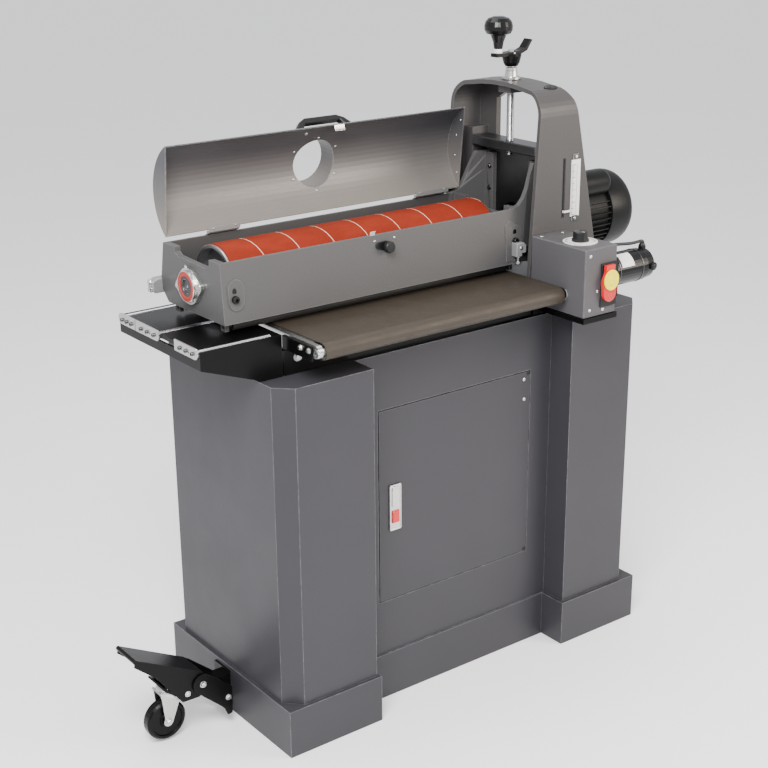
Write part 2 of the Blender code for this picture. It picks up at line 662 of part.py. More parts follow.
def control_bracket(mat):
    """Shelf under the control box, bolted to the front of the base."""
    z = (BOX_Z[0] - 0.0110, BOX_Z[0] - GAP)
    shelf = block("control_bracket", (0.204, 0.297), (-0.301, -BASE_HALF - GAP), z)
    flange = block("flange", (0.204, 0.297), (-BASE_HALF - 0.005, -BASE_HALF - GAP), (0.756, z[1]))
    return finish(join(shelf, flange), mat)


def speed_dial(mat):
    z = BOX_Z[1] + GAP
    return finish(ring("speed_dial", "Z", DIAL_CENTRE, (0.0048, DIAL_R), (z, z + 0.0012), FINE), mat)


def speed_knob(mat):
    """Skirted knob on a spindle that enters the box."""
    z = BOX_Z[1] + 0.0026
    profile = [(0.0, z - 0.012), (0.0035, z - 0.012), (0.0035, z), (KNOB_R + 0.001, z),
               (KNOB_R + 0.001, z + 0.003), (KNOB_R - 0.001, z + 0.004),
               (KNOB_R - 0.002, z + 0.017), (KNOB_R - 0.0035, z + 0.0185), (0.0, z + 0.0185)]
    return finish(turned("speed_knob", "Z", DIAL_CENTRE, profile, ROUND), mat, (*DIAL_CENTRE, z))


def switch_plate(mat):
    """Black bezel with a well for the paddle."""
    y = (BOX_Y[0] - 0.004, BOX_Y[0] - GAP)
    plate = soften(block("switch_plate", SWITCH_X, y, SWITCH_Z), 0.0008)
    middle = (sum(SWITCH_X) / 2, sum(SWITCH_Z) / 2)
    case = block("case", (middle[0] - 0.0145, middle[0] + 0.0145), (BOX_Y[0] - 0.001, -0.270),
                 (middle[1] - 0.0345, middle[1] + 0.0345))
    join(plate, case)
    well = block("well", (middle[0] - 0.0125, middle[0] + 0.0125), (-0.32, -0.286),
                 (middle[1] - 0.0200, middle[1] + 0.0200))
    return finish(cut(plate, well), mat)


def paddle_axis():
    return (sum(SWITCH_X) / 2, BOX_Y[0] - 0.0045, SWITCH_Z[1] - 0.004)


def switch_paddle(mat):
    """Red stop paddle: rounded plate hung from its upper edge, with a bore for the key."""
    middle = KEY_CENTRE[0]
    y = (BOX_Y[0] - 0.0130, BOX_Y[0] - 0.0055)
    low, shoulder = SWITCH_Z[0] + 0.0290, KEY_CENTRE[1] - 0.006
    outline = arc((middle, low), 0.0170, 180, 360, 14)
    outline += arc((middle, shoulder), 0.0195, -25, 35, 5)
    outline += [(middle + 0.0120, 0.8700), (middle + 0.0120, 0.8840), (middle - 0.0120, 0.8840),
                (middle - 0.0120, 0.8700)]
    outline += arc((middle, shoulder), 0.0195, 145, 205, 5)
    paddle = prism("switch_paddle", "Y", outline, y)
    bore = rod("bore", "Y", KEY_CENTRE, 0.0046, (y[0] - 0.01, y[1] + 0.01), 20)
    return finish(cut(paddle, bore), mat, paddle_axis())


def safety_key(mat):
    """Yellow pull-out key: oval grip on a round stem."""
    front = BOX_Y[0] - 0.0135
    turns = [2.0 * math.pi * k / 28 for k in range(28)]
    oval = [(KEY_CENTRE[0] + 0.0195 * math.cos(a), KEY_CENTRE[1] + 0.0210 * math.sin(a)) for a in turns]
    grip = prism("safety_key", "Y", oval, (front - 0.0055, front))
    stem = rod("stem", "Y", KEY_CENTRE, 0.0042, (front - 0.001, front + 0.0078), 20)
    return finish(join(grip, stem), mat, (KEY_CENTRE[0], front, KEY_CENTRE[1]))


# ---------------------------------------------------------------- arch, screw and crank
def arch_left(z):
    """Left edge of the arch at a height."""
    if z > 1.188:
        return 0.2256 + (z - 1.188) / (ARCH_TOP - 1.188) * 0.0064
    return max(0.2256 - (1.188 - z) * 0.0647, 0.2010)


def arch_right(z):
    """Right edge of the arch at a height."""
    if z > 1.183:
        return 0.3216 - (z - 1.183) / (ARCH_TOP - 1.183) * 0.0166
    return 0.3216 + (1.183 - z) * 0.2155


def arch_profile(inset):
    """Rear foot, over the crown, to the front foot, as (y, z) points."""
    half = ARCH_HALF - inset
    radius = 0.052 - inset
    crown = ARCH_TOP - inset
    shoulder = crown - 0.007
    rear = [(half, BASE_TOP + GAP), (half, 0.95), (half, 1.06)]
    rear += arc((half - radius, shoulder - radius), radius, 0, 72, 7)
    rear += [(0.052, crown - 0.0022), (0.020, crown)]
    return rear + [(-y, z) for y, z in reversed(rear)]


def arch_skin():
    """Band of the casting: its width follows the two edge lines."""
    bm = bmesh.new()
    rows = []
    for inset in (0.0, ARCH_SKIN):
        for edge in (arch_left, arch_right):
            outer_z = [z for _, z in arch_profile(0.0)]
            points = arch_profile(inset)
            rows.append([bm.verts.new((edge(height), y, z)) for (y, z), height
                         in zip(points, outer_z)])
    outer_left, outer_right, inner_left, inner_right = rows
    order = (outer_left, outer_right, inner_right, inner_left)
    for one, two in zip(order, order[1:] + order[:1]):
        for index in range(len(one) - 1):
            bm.faces.new((one[index], one[index + 1], two[index + 1], two[index]))
    for index in (0, -1):
        bm.faces.new([row[index] for row in order])
    return new_object("arch_frame", bm)


def arch_frame(mat):
    """Cast arch: outer band, inner web with its opening, feet, screw bore and slot."""
    skin = arch_skin()
    plate = prism("plate", "X", arch_profile(ARCH_SKIN / 2), WEB_X)
    half, top = 0.0780, 1.1890
    opening = [(half, 0.70), (half, 1.1660), (0.0370, top), (-0.0370, top), (-half, 1.1660),
               (-half, 0.70)]
    cut(plate, prism("opening", "X", opening, (0.2, 0.5)))
    join(skin, plate)
    bore_block = block("boss", (SCREW_X - 0.018, SCREW_X + 0.034), (-0.018, 0.018),
                       (1.190, ARCH_TOP - 0.004))
    join(skin, bore_block)
    for side in (-1, 1):
        y = sorted((side * 0.1035, side * (ARCH_HALF - 0.004)))
        join(skin, block("way", (0.2545, 0.3000), y, (0.9300, 1.1050)))
        y = sorted((side * 0.100, side * (ARCH_HALF - 0.001)))
        foot = block("foot", (0.2100, 0.3950), y, (BASE_TOP + GAP, BASE_TOP + 0.010))
        join(skin, foot)
    cut(skin, rod("bore", "Z", (SCREW_X, 0.0), SCREW_R + 0.0006, (1.15, 1.25), 24))
    slot = block("slot", (SLOT_X - SLOT_WIDTH / 2, SLOT_X + SLOT_WIDTH / 2), (-0.15, -0.095), SLOT_Z)
    return finish(cut(skin, slot), mat)


def height_scale(mat):
    """Scale strip on the front leg, on two screw tabs."""
    y = (-ARCH_HALF - 0.0020, -ARCH_HALF - GAP)
    tab_z = (SCALE_Z[0] + 0.0090, SCALE_Z[1] - 0.0110)
    strip = block("height_scale", SCALE_X, y, tab_z)
    middle = sum(SCALE_X) / 2
    tab = block("tab", (middle - 0.007, middle + 0.007), y, SCALE_Z)
    return finish(join(strip, tab), mat)


def screw_collar(mat):
    """Flanged bush on the crown of the arch."""
    z = ARCH_TOP + 0.0012
    bore = SCREW_R + 0.0006
    profile = [(bore, z), (0.0200, z), (0.0200, z + 0.004), (0.0135, z + 0.005),
               (0.0125, z + 0.016), (bore, z + 0.016)]
    return finish(turned("screw_collar", "Z", (SCREW_X, 0.0), profile, ROUND), mat)


def height_screw(mat):
    """Lifting screw from the crank hub down through the carriage nut."""
    collar_top = ARCH_TOP + 0.0180
    profile = [(0.0, 1.060), (SCREW_R - 0.001, 1.060), (SCREW_R, 1.062), (SCREW_R, collar_top),
               (SCREW_R + 0.004, collar_top), (SCREW_R + 0.004, collar_top + 0.006),
               (0.0060, collar_top + 0.007), (0.0060, 1.262), (0.0, 1.262)]
    return finish(turned("height_screw", "Z", (SCREW_X, 0.0), profile, 24), mat,
                  (SCREW_X, 0.0, ARCH_TOP))


def crank_arm(mat):
    """Cup hub with a flat arm: crank pin end to the left, upturned tip to the right."""
    bore = 0.0066
    profile = [(bore, 1.2430), (0.0130, 1.2430), (0.0170, 1.2500), (0.0205, 1.2640),
               (0.0205, 1.2690), (bore, 1.2690)]
    hub = turned("crank_arm", "Z", (SCREW_X, 0.0), profile, ROUND)
    left = SCREW_X - CRANK_RADIUS
    arm = [(left - 0.011, 1.2640), (left + 0.010, 1.2640), (SCREW_X + 0.021, 1.2680),
           (SCREW_X + 0.034, 1.2730), (SCREW_X + 0.048, 1.2930), (SCREW_X + 0.043, 1.2950),
           (SCREW_X + 0.029, 1.2780), (SCREW_X + 0.019, 1.2740), (left + 0.010, 1.2710),
           (left - 0.011, 1.2710)]
    join(hub, prism("arm", "Y", arm, (-0.0100, 0.0100)))
    cut(hub, rod("recess", "Z", (SCREW_X, 0.0), bore, (1.23, 1.2640), ROUND))
    pin = rod("pin", "Z", (left, 0.0), 0.0045, (1.2700, 1.3000), 20)
    return finish(join(hub, pin), mat, (SCREW_X, 0.0, ARCH_TOP))


def crank_knob(mat):
    """Turned mushroom knob, free on the crank pin."""
    bore = 0.0050
    profile = [(bore, 1.2715), (0.0070, 1.2715), (0.0070, 1.2800), (0.0090, 1.2810),
               (0.0110, 1.2940), (0.0165, 1.3080), (0.0250, 1.3110), (0.0290, 1.3180),
               (0.0295, 1.3260), (0.0270, 1.3350), (0.0210, 1.3415), (0.0110, 1.3448),
               (0.0, 1.3455), (0.0, 1.3010), (bore, 1.3010)]
    centre = (SCREW_X - CRANK_RADIUS, 0.0)
    return finish(turned("crank_knob", "Z", centre, profile, FINE), mat, (*centre, 1.3010))


# ---------------------------------------------------------------- head
def trough_outline(inset):
    """Cross-section of the head trough, as (y, z) points."""
    return [(-0.1030 + inset, HEAD_TOP), (-0.1125 + inset, HEAD_BOTTOM + inset),
            (0.0910 - inset * 0.4, HEAD_BOTTOM - 0.0010 + inset), (0.1180 - inset, 0.8850 + inset * 0.4),
            (0.1010 - inset, HEAD_TOP)]


def lifted(outline, height):
    """The same outline with both walls carried on above the rim, to cut through it."""
    raised = list(outline)
    for top, below in ((0, 1), (-1, -2)):
        (y, z), (y_below, z_below) = outline[top], outline[below]
        raised[top] = (y + (y - y_below) / (z - z_below) * height, z + height)
    return raised


def ear(side):
    """Curved cheek that carries a trough wall on to the carriage plate."""
    right, turn_in, thick = PLATE_X[0] - GAP, 0.2290, 0.0100
    curve = [(0.2520, 1.0560), (0.2410, 1.0350), (turn_in, 1.0080), (0.2180, 0.9890),
             (0.2050, 0.9770), (0.1850, 0.9720)]
    foot = HEAD_BOTTOM + 0.001
    outline = [(0.1850, foot), (turn_in, foot), (right, foot), (right, 1.0560)] + curve
    cheek = prism("cheek", "Y", outline, (0.0, thick))
    for vertex in cheek.data.vertices:
        share = min(max((vertex.co.x - turn_in) / (right - turn_in), 0.0), 1.0)
        wall = 0.0925
        if side < 0:
            wall = 0.1030 - thick + (HEAD_TOP - vertex.co.z) * FRONT_SLOPE
        wall += (0.0780 - wall) * share
        vertex.co.y = side * (wall + vertex.co.y)
    if side < 0:
        cheek.data.flip_normals()
    return cheek


def head_trough(mat):
    """Open casting round the drum: sloping walls, end walls, cheeks and roller lugs."""
    x = (HEAD_LEFT, HEAD_RIGHT)
    body = prism("head_trough", "X", trough_outline(0.0), x)
    inner = lifted(trough_outline(HEAD_WALL), 0.05)
    cut(body, prism("inside", "X", inner, (x[0] + 0.0120, x[1] - 0.0100)))
    cut(body, block("mouth", (-0.4800, 0.1900), (-0.0640, 0.0590), (0.84, 0.90)))
    for end in ((x[0] - 0.01, x[0] + 0.02), (x[1] - 0.02, x[1] + 0.01)):
        cut(body, prism("dip", "X", [(-0.0650, 0.9580), (-0.0560, 0.9530), (0.0480, 0.9565),
                                     (0.0570, 0.9620), (0.0600, 1.00), (-0.0680, 1.00)], end))
    for side in (-1, 1):
        join(body, ear(side))
        y = sorted((side * 0.0560, side * 0.0850))
        flange = block("flange", (PLATE_X[0] - 0.0105, PLATE_X[0] - GAP), y, (0.8700, 1.0540))
        join(body, flange)
        for z in (0.9780, 1.0250):
            hole = rod("hole", "X", (side * 0.0660, z), 0.0032, (0.26, 0.29), 12)
            cut(body, hole)
    for x_lug in ((-0.4950, -0.4870), (0.1910, 0.1990)):
        for y_roller in PRESSURE_Y.values():
            lug = block("lug", x_lug, (y_roller - 0.008, y_roller + 0.008), (0.8400, 0.8610))
            join(body, lug)
            cut(body, rod("bore", "X", (y_roller, PRESSURE_Z), 0.0040,
                          (x_lug[0] - 0.0030, x_lug[1] + 0.0030), 16))
    shaft_hole = rod("shaft_hole", "X", (0.0, DRUM_Z), DRUM_SHAFT_R + 0.0015, (-0.6, 0.27), 24)
    for centre_x in (-0.4795, 0.1905):
        join(body, front_boss(centre_x))
    return finish(cut(body, shaft_hole), mat)


def front_boss(x):
    """Oblong raised pad for a tension bolt on the sloping front wall."""
    radius, half = 0.0165, 0.0120
    outline = arc((x, 0.9110 + half), radius, 0, 180, 10) + arc((x, 0.9110 - half), radius, 180, 360, 10)
    pad = prism("pad", "Y", outline, (-0.1015, -0.0995))
    for vertex in pad.data.vertices:
        wall = -0.1030 - (HEAD_TOP - vertex.co.z) * FRONT_SLOPE
        vertex.co.y = wall + (-0.0025 if vertex.co.y < -0.1005 else 0.0015)
    return pad


def carriage(mat):
    """Slide that carries the head: plate between the ways, with a shaft hole and a nut block."""
    plate = block("carriage", PLATE_X, (-0.1020, 0.1020), (0.8350, 1.0750))
    nut = block("nut", (0.2480, PLATE_X[1]), (-0.100, 0.100), NUT_Z)
    join(plate, soften(nut, 0.002))
    cut(plate, rod("screw_bore", "Z", (SCREW_X, 0.0), SCREW_R + 0.0006, (1.0, 1.2), 24))
    return finish(cut(plate, rod("shaft_bore", "X", (0.0, DRUM_Z), 0.045, (0.2, 0.4), FINE)), mat)


def depth_pointer(mat):
    """Pointer that reaches through the slot in the front leg to the scale."""
    z = (0.9560, 0.9600)
    pointer = block("depth_pointer", (0.2905, 0.2935), (-0.1455, -0.1023), z)
    tip = block("tip", (0.2905, 0.3085), (-0.1455, -0.1430), z)
    return finish(join(pointer, tip), mat)


def drum(mat):
    """Hollow drum: rim, two pierced webs and through shaft in one piece."""
    x0, x1 = DRUM_X
    rim_inner, web, inset = DRUM_R - 0.006, 0.008, 0.018
    profile = [(0.0, -0.5165), (DRUM_SHAFT_R, -0.5165), (DRUM_SHAFT_R, x0 + inset),
               (rim_inner, x0 + inset), (rim_inner, x0), (DRUM_R, x0), (DRUM_R, x1),
               (rim_inner, x1), (rim_inner, x1 - inset), (DRUM_SHAFT_R, x1 - inset),
               (DRUM_SHAFT_R, 0.2930), (0.0, 0.2930)]
    body = turned("drum", "X", (0.0, DRUM_Z), profile, FINE)
    chamber = ring("chamber", "X", (0.0, DRUM_Z), (DRUM_SHAFT_R, rim_inner),
                   (x0 + inset + web, x1 - inset - web), FINE)
    cut(body, chamber)
    for index in range(3):
        angle = math.radians(120 * index + 20)
        centre = (0.0380 * math.cos(angle), DRUM_Z + 0.0380 * math.sin(angle))
        cut(body, rod("pocket", "X", centre, 0.0165, (x0 - 0.01, x1 + 0.01), 20))
    return finish(body, mat, (0.0, 0.0, DRUM_Z))


def abrasive_wrap(mat):
    """Abrasive strip on the drum, as a sleeve."""
    x = (DRUM_X[0] + 0.004, DRUM_X[1] - 0.004)
    sleeve = ring("abrasive_wrap", "X", (0.0, DRUM_Z), (DRUM_R + 0.0004, WRAP_R), x, FINE)
    return finish(sleeve, mat, (0.0, 0.0, DRUM_Z))


def drum_bearing(mat):
    """Two-bolt flange bearing on the left end wall."""
    x = (HEAD_LEFT - 0.0075, HEAD_LEFT - GAP)
    outline = arc((0.0, DRUM_Z), 0.0345, 45, 120, 7)
    outline += arc((-0.0375, DRUM_Z + 0.0060), 0.0095, 120, 235, 6)
    outline += arc((0.0, DRUM_Z), 0.0345, 225, 300, 7)
    outline += arc((0.0375, DRUM_Z - 0.0060), 0.0095, -60, 55, 6)
    flange = prism("drum_bearing", "X", outline, x)
    join(flange, rod("raised", "X", (0.0, DRUM_Z), 0.0300, (x[0] - 0.004, x[0] + 0.002), ROUND))
    bore = rod("bore", "X", (0.0, DRUM_Z), DRUM_SHAFT_R + 0.0005, (-0.6, -0.4), 24)
    return finish(cut(flange, bore), mat)


def pressure_roller(name, mat):
    """Spring-loaded hold-down roller beside the drum."""
    y = PRESSURE_Y[name]
    profile = [(0.0, -0.4930), (0.0036, -0.4930), (0.0036, -0.4780), (PRESSURE_R, -0.4780),
               (PRESSURE_R, 0.1840), (0.0036, 0.1840), (0.0036, 0.1970), (0.0, 0.1970)]
    roller = turned("pressure_roller_" + name, "X", (y, PRESSURE_Z), profile, 24)
    return finish(roller, mat, (0.0, y, PRESSURE_Z))


def main_motor(mat):
    """Drum motor: flange, finned body and rounded fan cowl."""
    x0 = PLATE_X[1] + GAP
    axis = (0.0, DRUM_Z)
    profile = [(0.040, x0), (0.068, x0), (0.068, 0.3135), (0.080, 0.3135), (0.080, 0.3240),
               (0.0740, 0.3260), (0.0740, 0.4980), (0.0830, 0.5000), (0.0840, 0.5060),
               (0.0840, 0.5480), (0.0800, 0.5620), (0.0700, 0.5710), (0.0500, 0.5760),
               (0.0, 0.5765), (0.0, x0 + 0.004), (0.040, x0 + 0.004)]
    motor = turned("main_motor", "X", axis, profile, FINE)
    return finish(motor, mat)


def capacitor_box(mat):
    """Rounded capacitor housing along the top front of the motor."""
    centre = (-0.0480, DRUM_Z + 0.0700)
    profile = [(0.0, 0.3500), (0.0250, 0.3500), (0.0275, 0.3540), (0.0275, 0.4860),
               (0.0250, 0.4900), (0.0, 0.4900)]
    housing = turned("capacitor_box", "X", centre, profile, 24)
    clearance = rod("clearance", "X", (0.0, DRUM_Z), 0.0745, (0.3, 0.6), FINE)
    return finish(cut(housing, clearance), mat)


# ---------------------------------------------------------------- cover
def cover_place():
    """Maps cover coordinates (x, depth behind the chord, distance from the foot) to space."""
    lean = Matrix.Rotation(COVER_LEAN, 4, "X")
    return Matrix.Translation((0.0, *COVER_FOOT)) @ lean


def segment_outline(inset):
    """Circular segment of the cover; u is behind the chord, v runs from foot to free edge."""
    radius = (COVER_CHORD ** 2 / 4 + COVER_SAGITTA ** 2) / (2 * COVER_SAGITTA)
    centre = (COVER_SAGITTA - radius, COVER_CHORD / 2)
    reach = math.degrees(math.asin(COVER_CHORD / 2 / radius))
    return arc(centre, radius - inset, -reach, reach, 20)


def cover_shell(mat):
    """Curved cover with two end caps, open towards the drum."""
    shell = prism("cover_shell", "X", segment_outline(0.0), COVER_X)
    inner = segment_outline(COVER_SHEET)
    inner = [(-0.02, inner[0][1])] + inner + [(-0.02, inner[-1][1])]
    x = (COVER_X[0] + COVER_SHEET, COVER_X[1] - COVER_SHEET)
    cut(shell, prism("inside", "X", inner, x))
    hole = rod("hole", "Y", (PORT_X, COVER_CHORD / 2), PORT_R - 0.0010, (0.0, 0.2), FINE)
    cut(shell, hole)
    shell.data.transform(cover_place())
    return finish(shell, mat, (0.0, *COVER_HINGE))


def dust_port(mat):
    """Round spigot behind the cover for an extraction hose."""
    radius = PORT_R + 0.0010
    y0 = COVER_SAGITTA + 0.0005
    spigot = ring("dust_port", "Y", (PORT_X, COVER_CHORD / 2), (PORT_R - 0.001, radius),
                  (y0 - 0.0120, y0 + PORT_LENGTH), FINE)
    flange = ring("flange", "Y", (PORT_X, COVER_CHORD / 2), (PORT_R - 0.001, PORT_R + 0.0140),
                  (y0 - 0.0160, y0 + 0.0010), FINE)
    join(spigot, flange)
    segment = segment_outline(-GAP)
    segment = [(-0.02, segment[0][1])] + segment + [(-0.02, segment[-1][1])]
    cut(spigot, prism("cover_space", "X", segment, (-0.3, 0.1)))
    spigot.data.transform(cover_place())
    return finish(spigot, mat, (0.0, *COVER_HINGE))


def cover_handle(mat):
    """Bow handle near the free edge of the cover."""
    radius = (COVER_CHORD ** 2 / 4 + COVER_SAGITTA ** 2) / (2 * COVER_SAGITTA)
    centre = Vector((COVER_SAGITTA - radius, COVER_CHORD / 2))
    angle = math.radians(42)
    out = Vector((math.cos(angle), math.sin(angle)))
    foot = centre + out * (radius + GAP)
    half = 0.0680
    bow = [(-half, 0.0), (-half, 0.006), (-half + 0.014, 0.022), (-half + 0.030, 0.030),
           (half - 0.030, 0.030), (half - 0.014, 0.022), (half, 0.006), (half, 0.0),
           (half - 0.016, 0.0), (half - 0.026, 0.018), (-half + 0.026, 0.018),
           (-half + 0.016, 0.0)]
    handle = prism("cover_handle", "Z", bow, (-0.0075, 0.0075))
    soften(handle, 0.0020)
    tilt = Matrix.Rotation(angle, 4, "X")
    side = Matrix.Translation((-0.1380, foot.x, foot.y))
    handle.data.transform(cover_place() @ side @ tilt)
    return finish(handle, mat, (0.0, *COVER_HINGE))


def lock_knob(mat):
    """Knurled knob low on the front wall that locks the closed cover."""
    profile = [(0.0, -0.1095), (0.0045, -0.1095), (0.0045, -0.1130), (0.0105, -0.1140),
               (0.0115, -0.1165), (0.0115, -0.1225), (0.0095, -0.1255), (0.0, -0.1260)]
    centre = (-0.1400, 0.9470)
    profile = [(r, t + 0.0020) for r, t in profile]
    knob = turned("lock_knob", "Y", centre, profile, 24)
    return finish(knob, mat, (centre[0], -0.1095, centre[1]))


# ---------------------------------------------------------------- assembly
def build_stand(mats):
    paint, black, zinc = mats["stand_paint"], mats["black_paint"], mats["zinc"]
    column("left_column", -1, paint)
    column("right_column", 1, paint)
    plinth("left_plinth", -1, paint)
    plinth("right_plinth", 1, paint)
    front_panel(paint)
    rear_panel(paint)
    cabinet_floor(paint)
    cabinet_door(paint)
    door_latch(zinc)
    latch_button(mats["red_plastic"])
    lift_bracket(black)
    lift_pedal(black)
    caster_fork(zinc)
    caster_wheel(mats["rubber"])
    wheel_bracket(black)
    for end in FIXED_Y:
        fixed_wheel(end, mats["rubber"])


def build_table(mats):
    black, zinc, steel = mats["black_paint"], mats["zinc"], mats["steel"]
    base_frame(black)
    outboard_table(black)
    roller_bracket("rear", OUTBOARD_Y["rear"], 0.083, zinc)
    roller_bracket("middle", OUTBOARD_Y["middle"], 0.081, zinc)
    roller_bracket("front", OUTBOARD_Y["front"], -0.065, zinc)
    for name in OUTBOARD_Y:
        outboard_roller(name, steel)
    conveyor_belt(mats["belt"])
    conveyor_bed(steel)
    conveyor_roller("drive_roller", -ROLLER_Y, BOX_X[1] + 0.018, steel)
    conveyor_roller("idler_roller", ROLLER_Y, RIGHT_RAIL_X[1] - 0.0005, steel)
    conveyor_rail("left_rail", LEFT_RAIL_X, zinc)
    conveyor_rail("right_rail", RIGHT_RAIL_X, black)
    gear_motor(mats["black_paint"])
    motor_lead(mats["rubber"])


def build_controls(mats):
    control_box(mats["stand_paint"])
    control_bracket(mats["black_paint"])
    speed_dial(mats["white_plastic"])
    speed_knob(mats["black_plastic"])
    switch_plate(mats["black_plastic"])
    switch_paddle(mats["red_plastic"])
    safety_key(mats["yellow_plastic"])


def build_arch(mats):
    arch_frame(mats["stand_paint"])
    height_scale(mats["white_plastic"])
    screw_collar(mats["zinc"])
    height_screw(mats["steel"])
    crank_arm(mats["black_paint"])
    crank_knob(mats["black_plastic"])


def build_head(mats):
    head_trough(mats["cast_aluminium"])
    carriage(mats["black_paint"])
    depth_pointer(mats["white_plastic"])
    drum(mats["drum_metal"])
    abrasive_wrap(mats["abrasive"])
    drum_bearing(mats["zinc"])
    for name in PRESSURE_Y:
        pressure_roller(name, mats["steel"])
    main_motor(mats["motor_grey"])
    capacitor_box(mats["motor_grey"])
    cover_shell(mats["cast_aluminium"])
    dust_port(mats["zinc"])
    cover_handle(mats["black_plastic"])
    lock_knob(mats["black_plastic"])


def main():
    clear_scene()
    mats = make_materials()
    build_stand(mats)
    build_table(mats)
    build_controls(mats)
    build_arch(mats)
    build_head(mats)
    machine = bpy.data.objects.new("machine", None)
    bpy.context.scene.collection.objects.link(machine)
    for obj in list(bpy.context.scene.objects):
        if obj is not machine:
            obj.parent = machine
    machine.location = (*DESIGN_SHIFT, 0.0)


main()
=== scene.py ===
"""Open-ended drum sander: surfaces, fittings, camera and light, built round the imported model."""

import json
import math

import bmesh
import bpy
from mathutils import Matrix, Vector


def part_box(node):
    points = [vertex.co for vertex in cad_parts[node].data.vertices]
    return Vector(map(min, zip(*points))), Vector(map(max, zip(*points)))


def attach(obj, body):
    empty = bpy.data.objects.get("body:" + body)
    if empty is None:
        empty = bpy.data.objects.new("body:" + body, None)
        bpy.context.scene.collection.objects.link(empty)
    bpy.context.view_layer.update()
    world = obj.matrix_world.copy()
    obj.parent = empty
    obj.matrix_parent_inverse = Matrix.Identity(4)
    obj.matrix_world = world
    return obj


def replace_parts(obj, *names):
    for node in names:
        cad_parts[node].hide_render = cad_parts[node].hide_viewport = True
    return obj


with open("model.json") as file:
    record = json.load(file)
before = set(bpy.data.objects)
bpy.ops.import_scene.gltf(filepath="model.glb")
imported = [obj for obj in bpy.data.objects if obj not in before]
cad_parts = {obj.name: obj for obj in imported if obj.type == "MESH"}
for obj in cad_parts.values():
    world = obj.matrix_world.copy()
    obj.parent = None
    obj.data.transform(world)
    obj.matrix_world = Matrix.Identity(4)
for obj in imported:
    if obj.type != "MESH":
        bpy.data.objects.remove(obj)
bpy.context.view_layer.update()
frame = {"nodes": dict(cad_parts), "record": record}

# ---- the stand's centre in the row frame, taken from the two plinths
STAND_LOW, STAND_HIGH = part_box("left_plinth")[0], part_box("right_plinth")[1]
STAND_X, STAND_Y = (0.5 * (STAND_LOW[k] + STAND_HIGH[k]) for k in (0, 1))

# ---- main places and sizes, in metres from the stand's centre on the floor
DRUM_Z, DRUM_R = 0.910, 0.0700
STRIP_PITCH = 0.0798                     # advance of the abrasive strip in one turn
STRIP_START = STAND_X - 0.3318           # row frame: where a seam crosses the rear of the drum
SCREW_X, SCREW_PITCH = 0.268, 0.0015875  # lifting screw: its place and its advance in one turn
GEAR_Y, GEAR_Z, GEAR_R = -0.242, 0.848, 0.034      # gear motor: its axis and case radius
CAPACITOR_Y, CAPACITOR_Z = -0.0480, DRUM_Z + 0.0700
LEVER_X, LEVER_Z = -0.5613, 0.1172       # pivot of the foot lever
CASTER_PLACE = Matrix.Translation((-0.6162, -0.014, 0.1084)) @ Matrix.Rotation(math.radians(35.0), 4, "Y")
WHEEL_Z = 0.0315                         # axle height of the fixed wheels
SINK = 0.0005                            # how far a fastener's foot goes into its surface
TAU = 2.0 * math.pi
LEFT, RIGHT, FRONT, BACK, UP = (-1, 0, 0), (1, 0, 0), (0, -1, 0), (0, 1, 0), (0, 0, 1)


def at(x, y, z):
    """A point given from the centre of the stand, in the row frame."""
    return Vector((x + STAND_X, y + STAND_Y, z))


# ---- node helpers
def node(tree, kind, sockets=None, **settings):
    """Add a shader node, setting plain values and linking sockets."""
    made = tree.nodes.new(kind)
    for key, value in settings.items():
        setattr(made, key, value)
    for key, value in (sockets or {}).items():
        if isinstance(value, bpy.types.NodeSocket):
            tree.links.new(value, made.inputs[key])
        else:
            made.inputs[key].default_value = value
    return made


def math_node(tree, operation, a, b=0.0):
    """One arithmetic step."""
    return node(tree, "ShaderNodeMath", {0: a, 1: b}, operation=operation).outputs[0]


def blank(name):
    """A new material: its tree, its shader and its object coordinates."""
    mat = bpy.data.materials.new(name)
    mat.use_nodes = True
    tree = mat.node_tree
    shader = next(n for n in tree.nodes if n.type == "BSDF_PRINCIPLED")
    return mat, tree, shader, node(tree, "ShaderNodeTexCoord").outputs["Object"]


def noise(tree, coords, scale, detail=3.0, rough=0.55):
    """Noise texture factor."""
    sockets = {"Vector": coords, "Scale": scale, "Detail": detail, "Roughness": rough}
    return node(tree, "ShaderNodeTexNoise", sockets).outputs["Fac"]


def stretched(tree, coords, scale):
    """Coordinates scaled differently along each axis."""
    sockets = {0: coords, 1: scale}
    return node(tree, "ShaderNodeVectorMath", sockets, operation="MULTIPLY").outputs[0]


def ramp(tree, value, low, high, start=0.0, end=1.0):
    """Remap a value from low..high to start..end, clamped."""
    sockets = {"Value": value, 1: low, 2: high, 3: start, 4: end}
    return node(tree, "ShaderNodeMapRange", sockets).outputs[0]


def mixed(tree, factor, first, second):
    """Mix two colours."""
    made = node(tree, "ShaderNodeMix", data_type="RGBA")
    for key, value in ((0, factor), (6, first), (7, second)):
        if isinstance(value, bpy.types.NodeSocket):
            tree.links.new(value, made.inputs[key])
        else:
            made.inputs[key].default_value = value if key == 0 else (*value, 1.0)
    return made.outputs[2]


def bumped(tree, shader, height, distance):
    """Bump the shader's normal by a height, in metres."""
    made = node(tree, "ShaderNodeBump", {"Height": height, "Distance": distance, "Strength": 1.0})
    tree.links.new(made.outputs[0], shader.inputs["Normal"])


def edge_mask(tree, coords, radius, scale, full=0.90):
    """1 along outer edges, broken up by noise, 0 elsewhere; it marks edge wear and a painted edge
    highlight.
    """
    rounded = node(tree, "ShaderNodeBevel", {"Radius": radius}, samples=4).outputs[0]
    flat = node(tree, "ShaderNodeNewGeometry").outputs["True Normal"]
    dot = node(tree, "ShaderNodeVectorMath", {0: rounded, 1: flat}, operation="DOT_PRODUCT")
    edge = ramp(tree, dot.outputs["Value"], 0.99, full)
    patchy = ramp(tree, noise(tree, coords, scale, 5.0, 0.7), 0.36, 0.62, 0.25, 1.0)
    return math_node(tree, "MULTIPLY", edge, patchy)


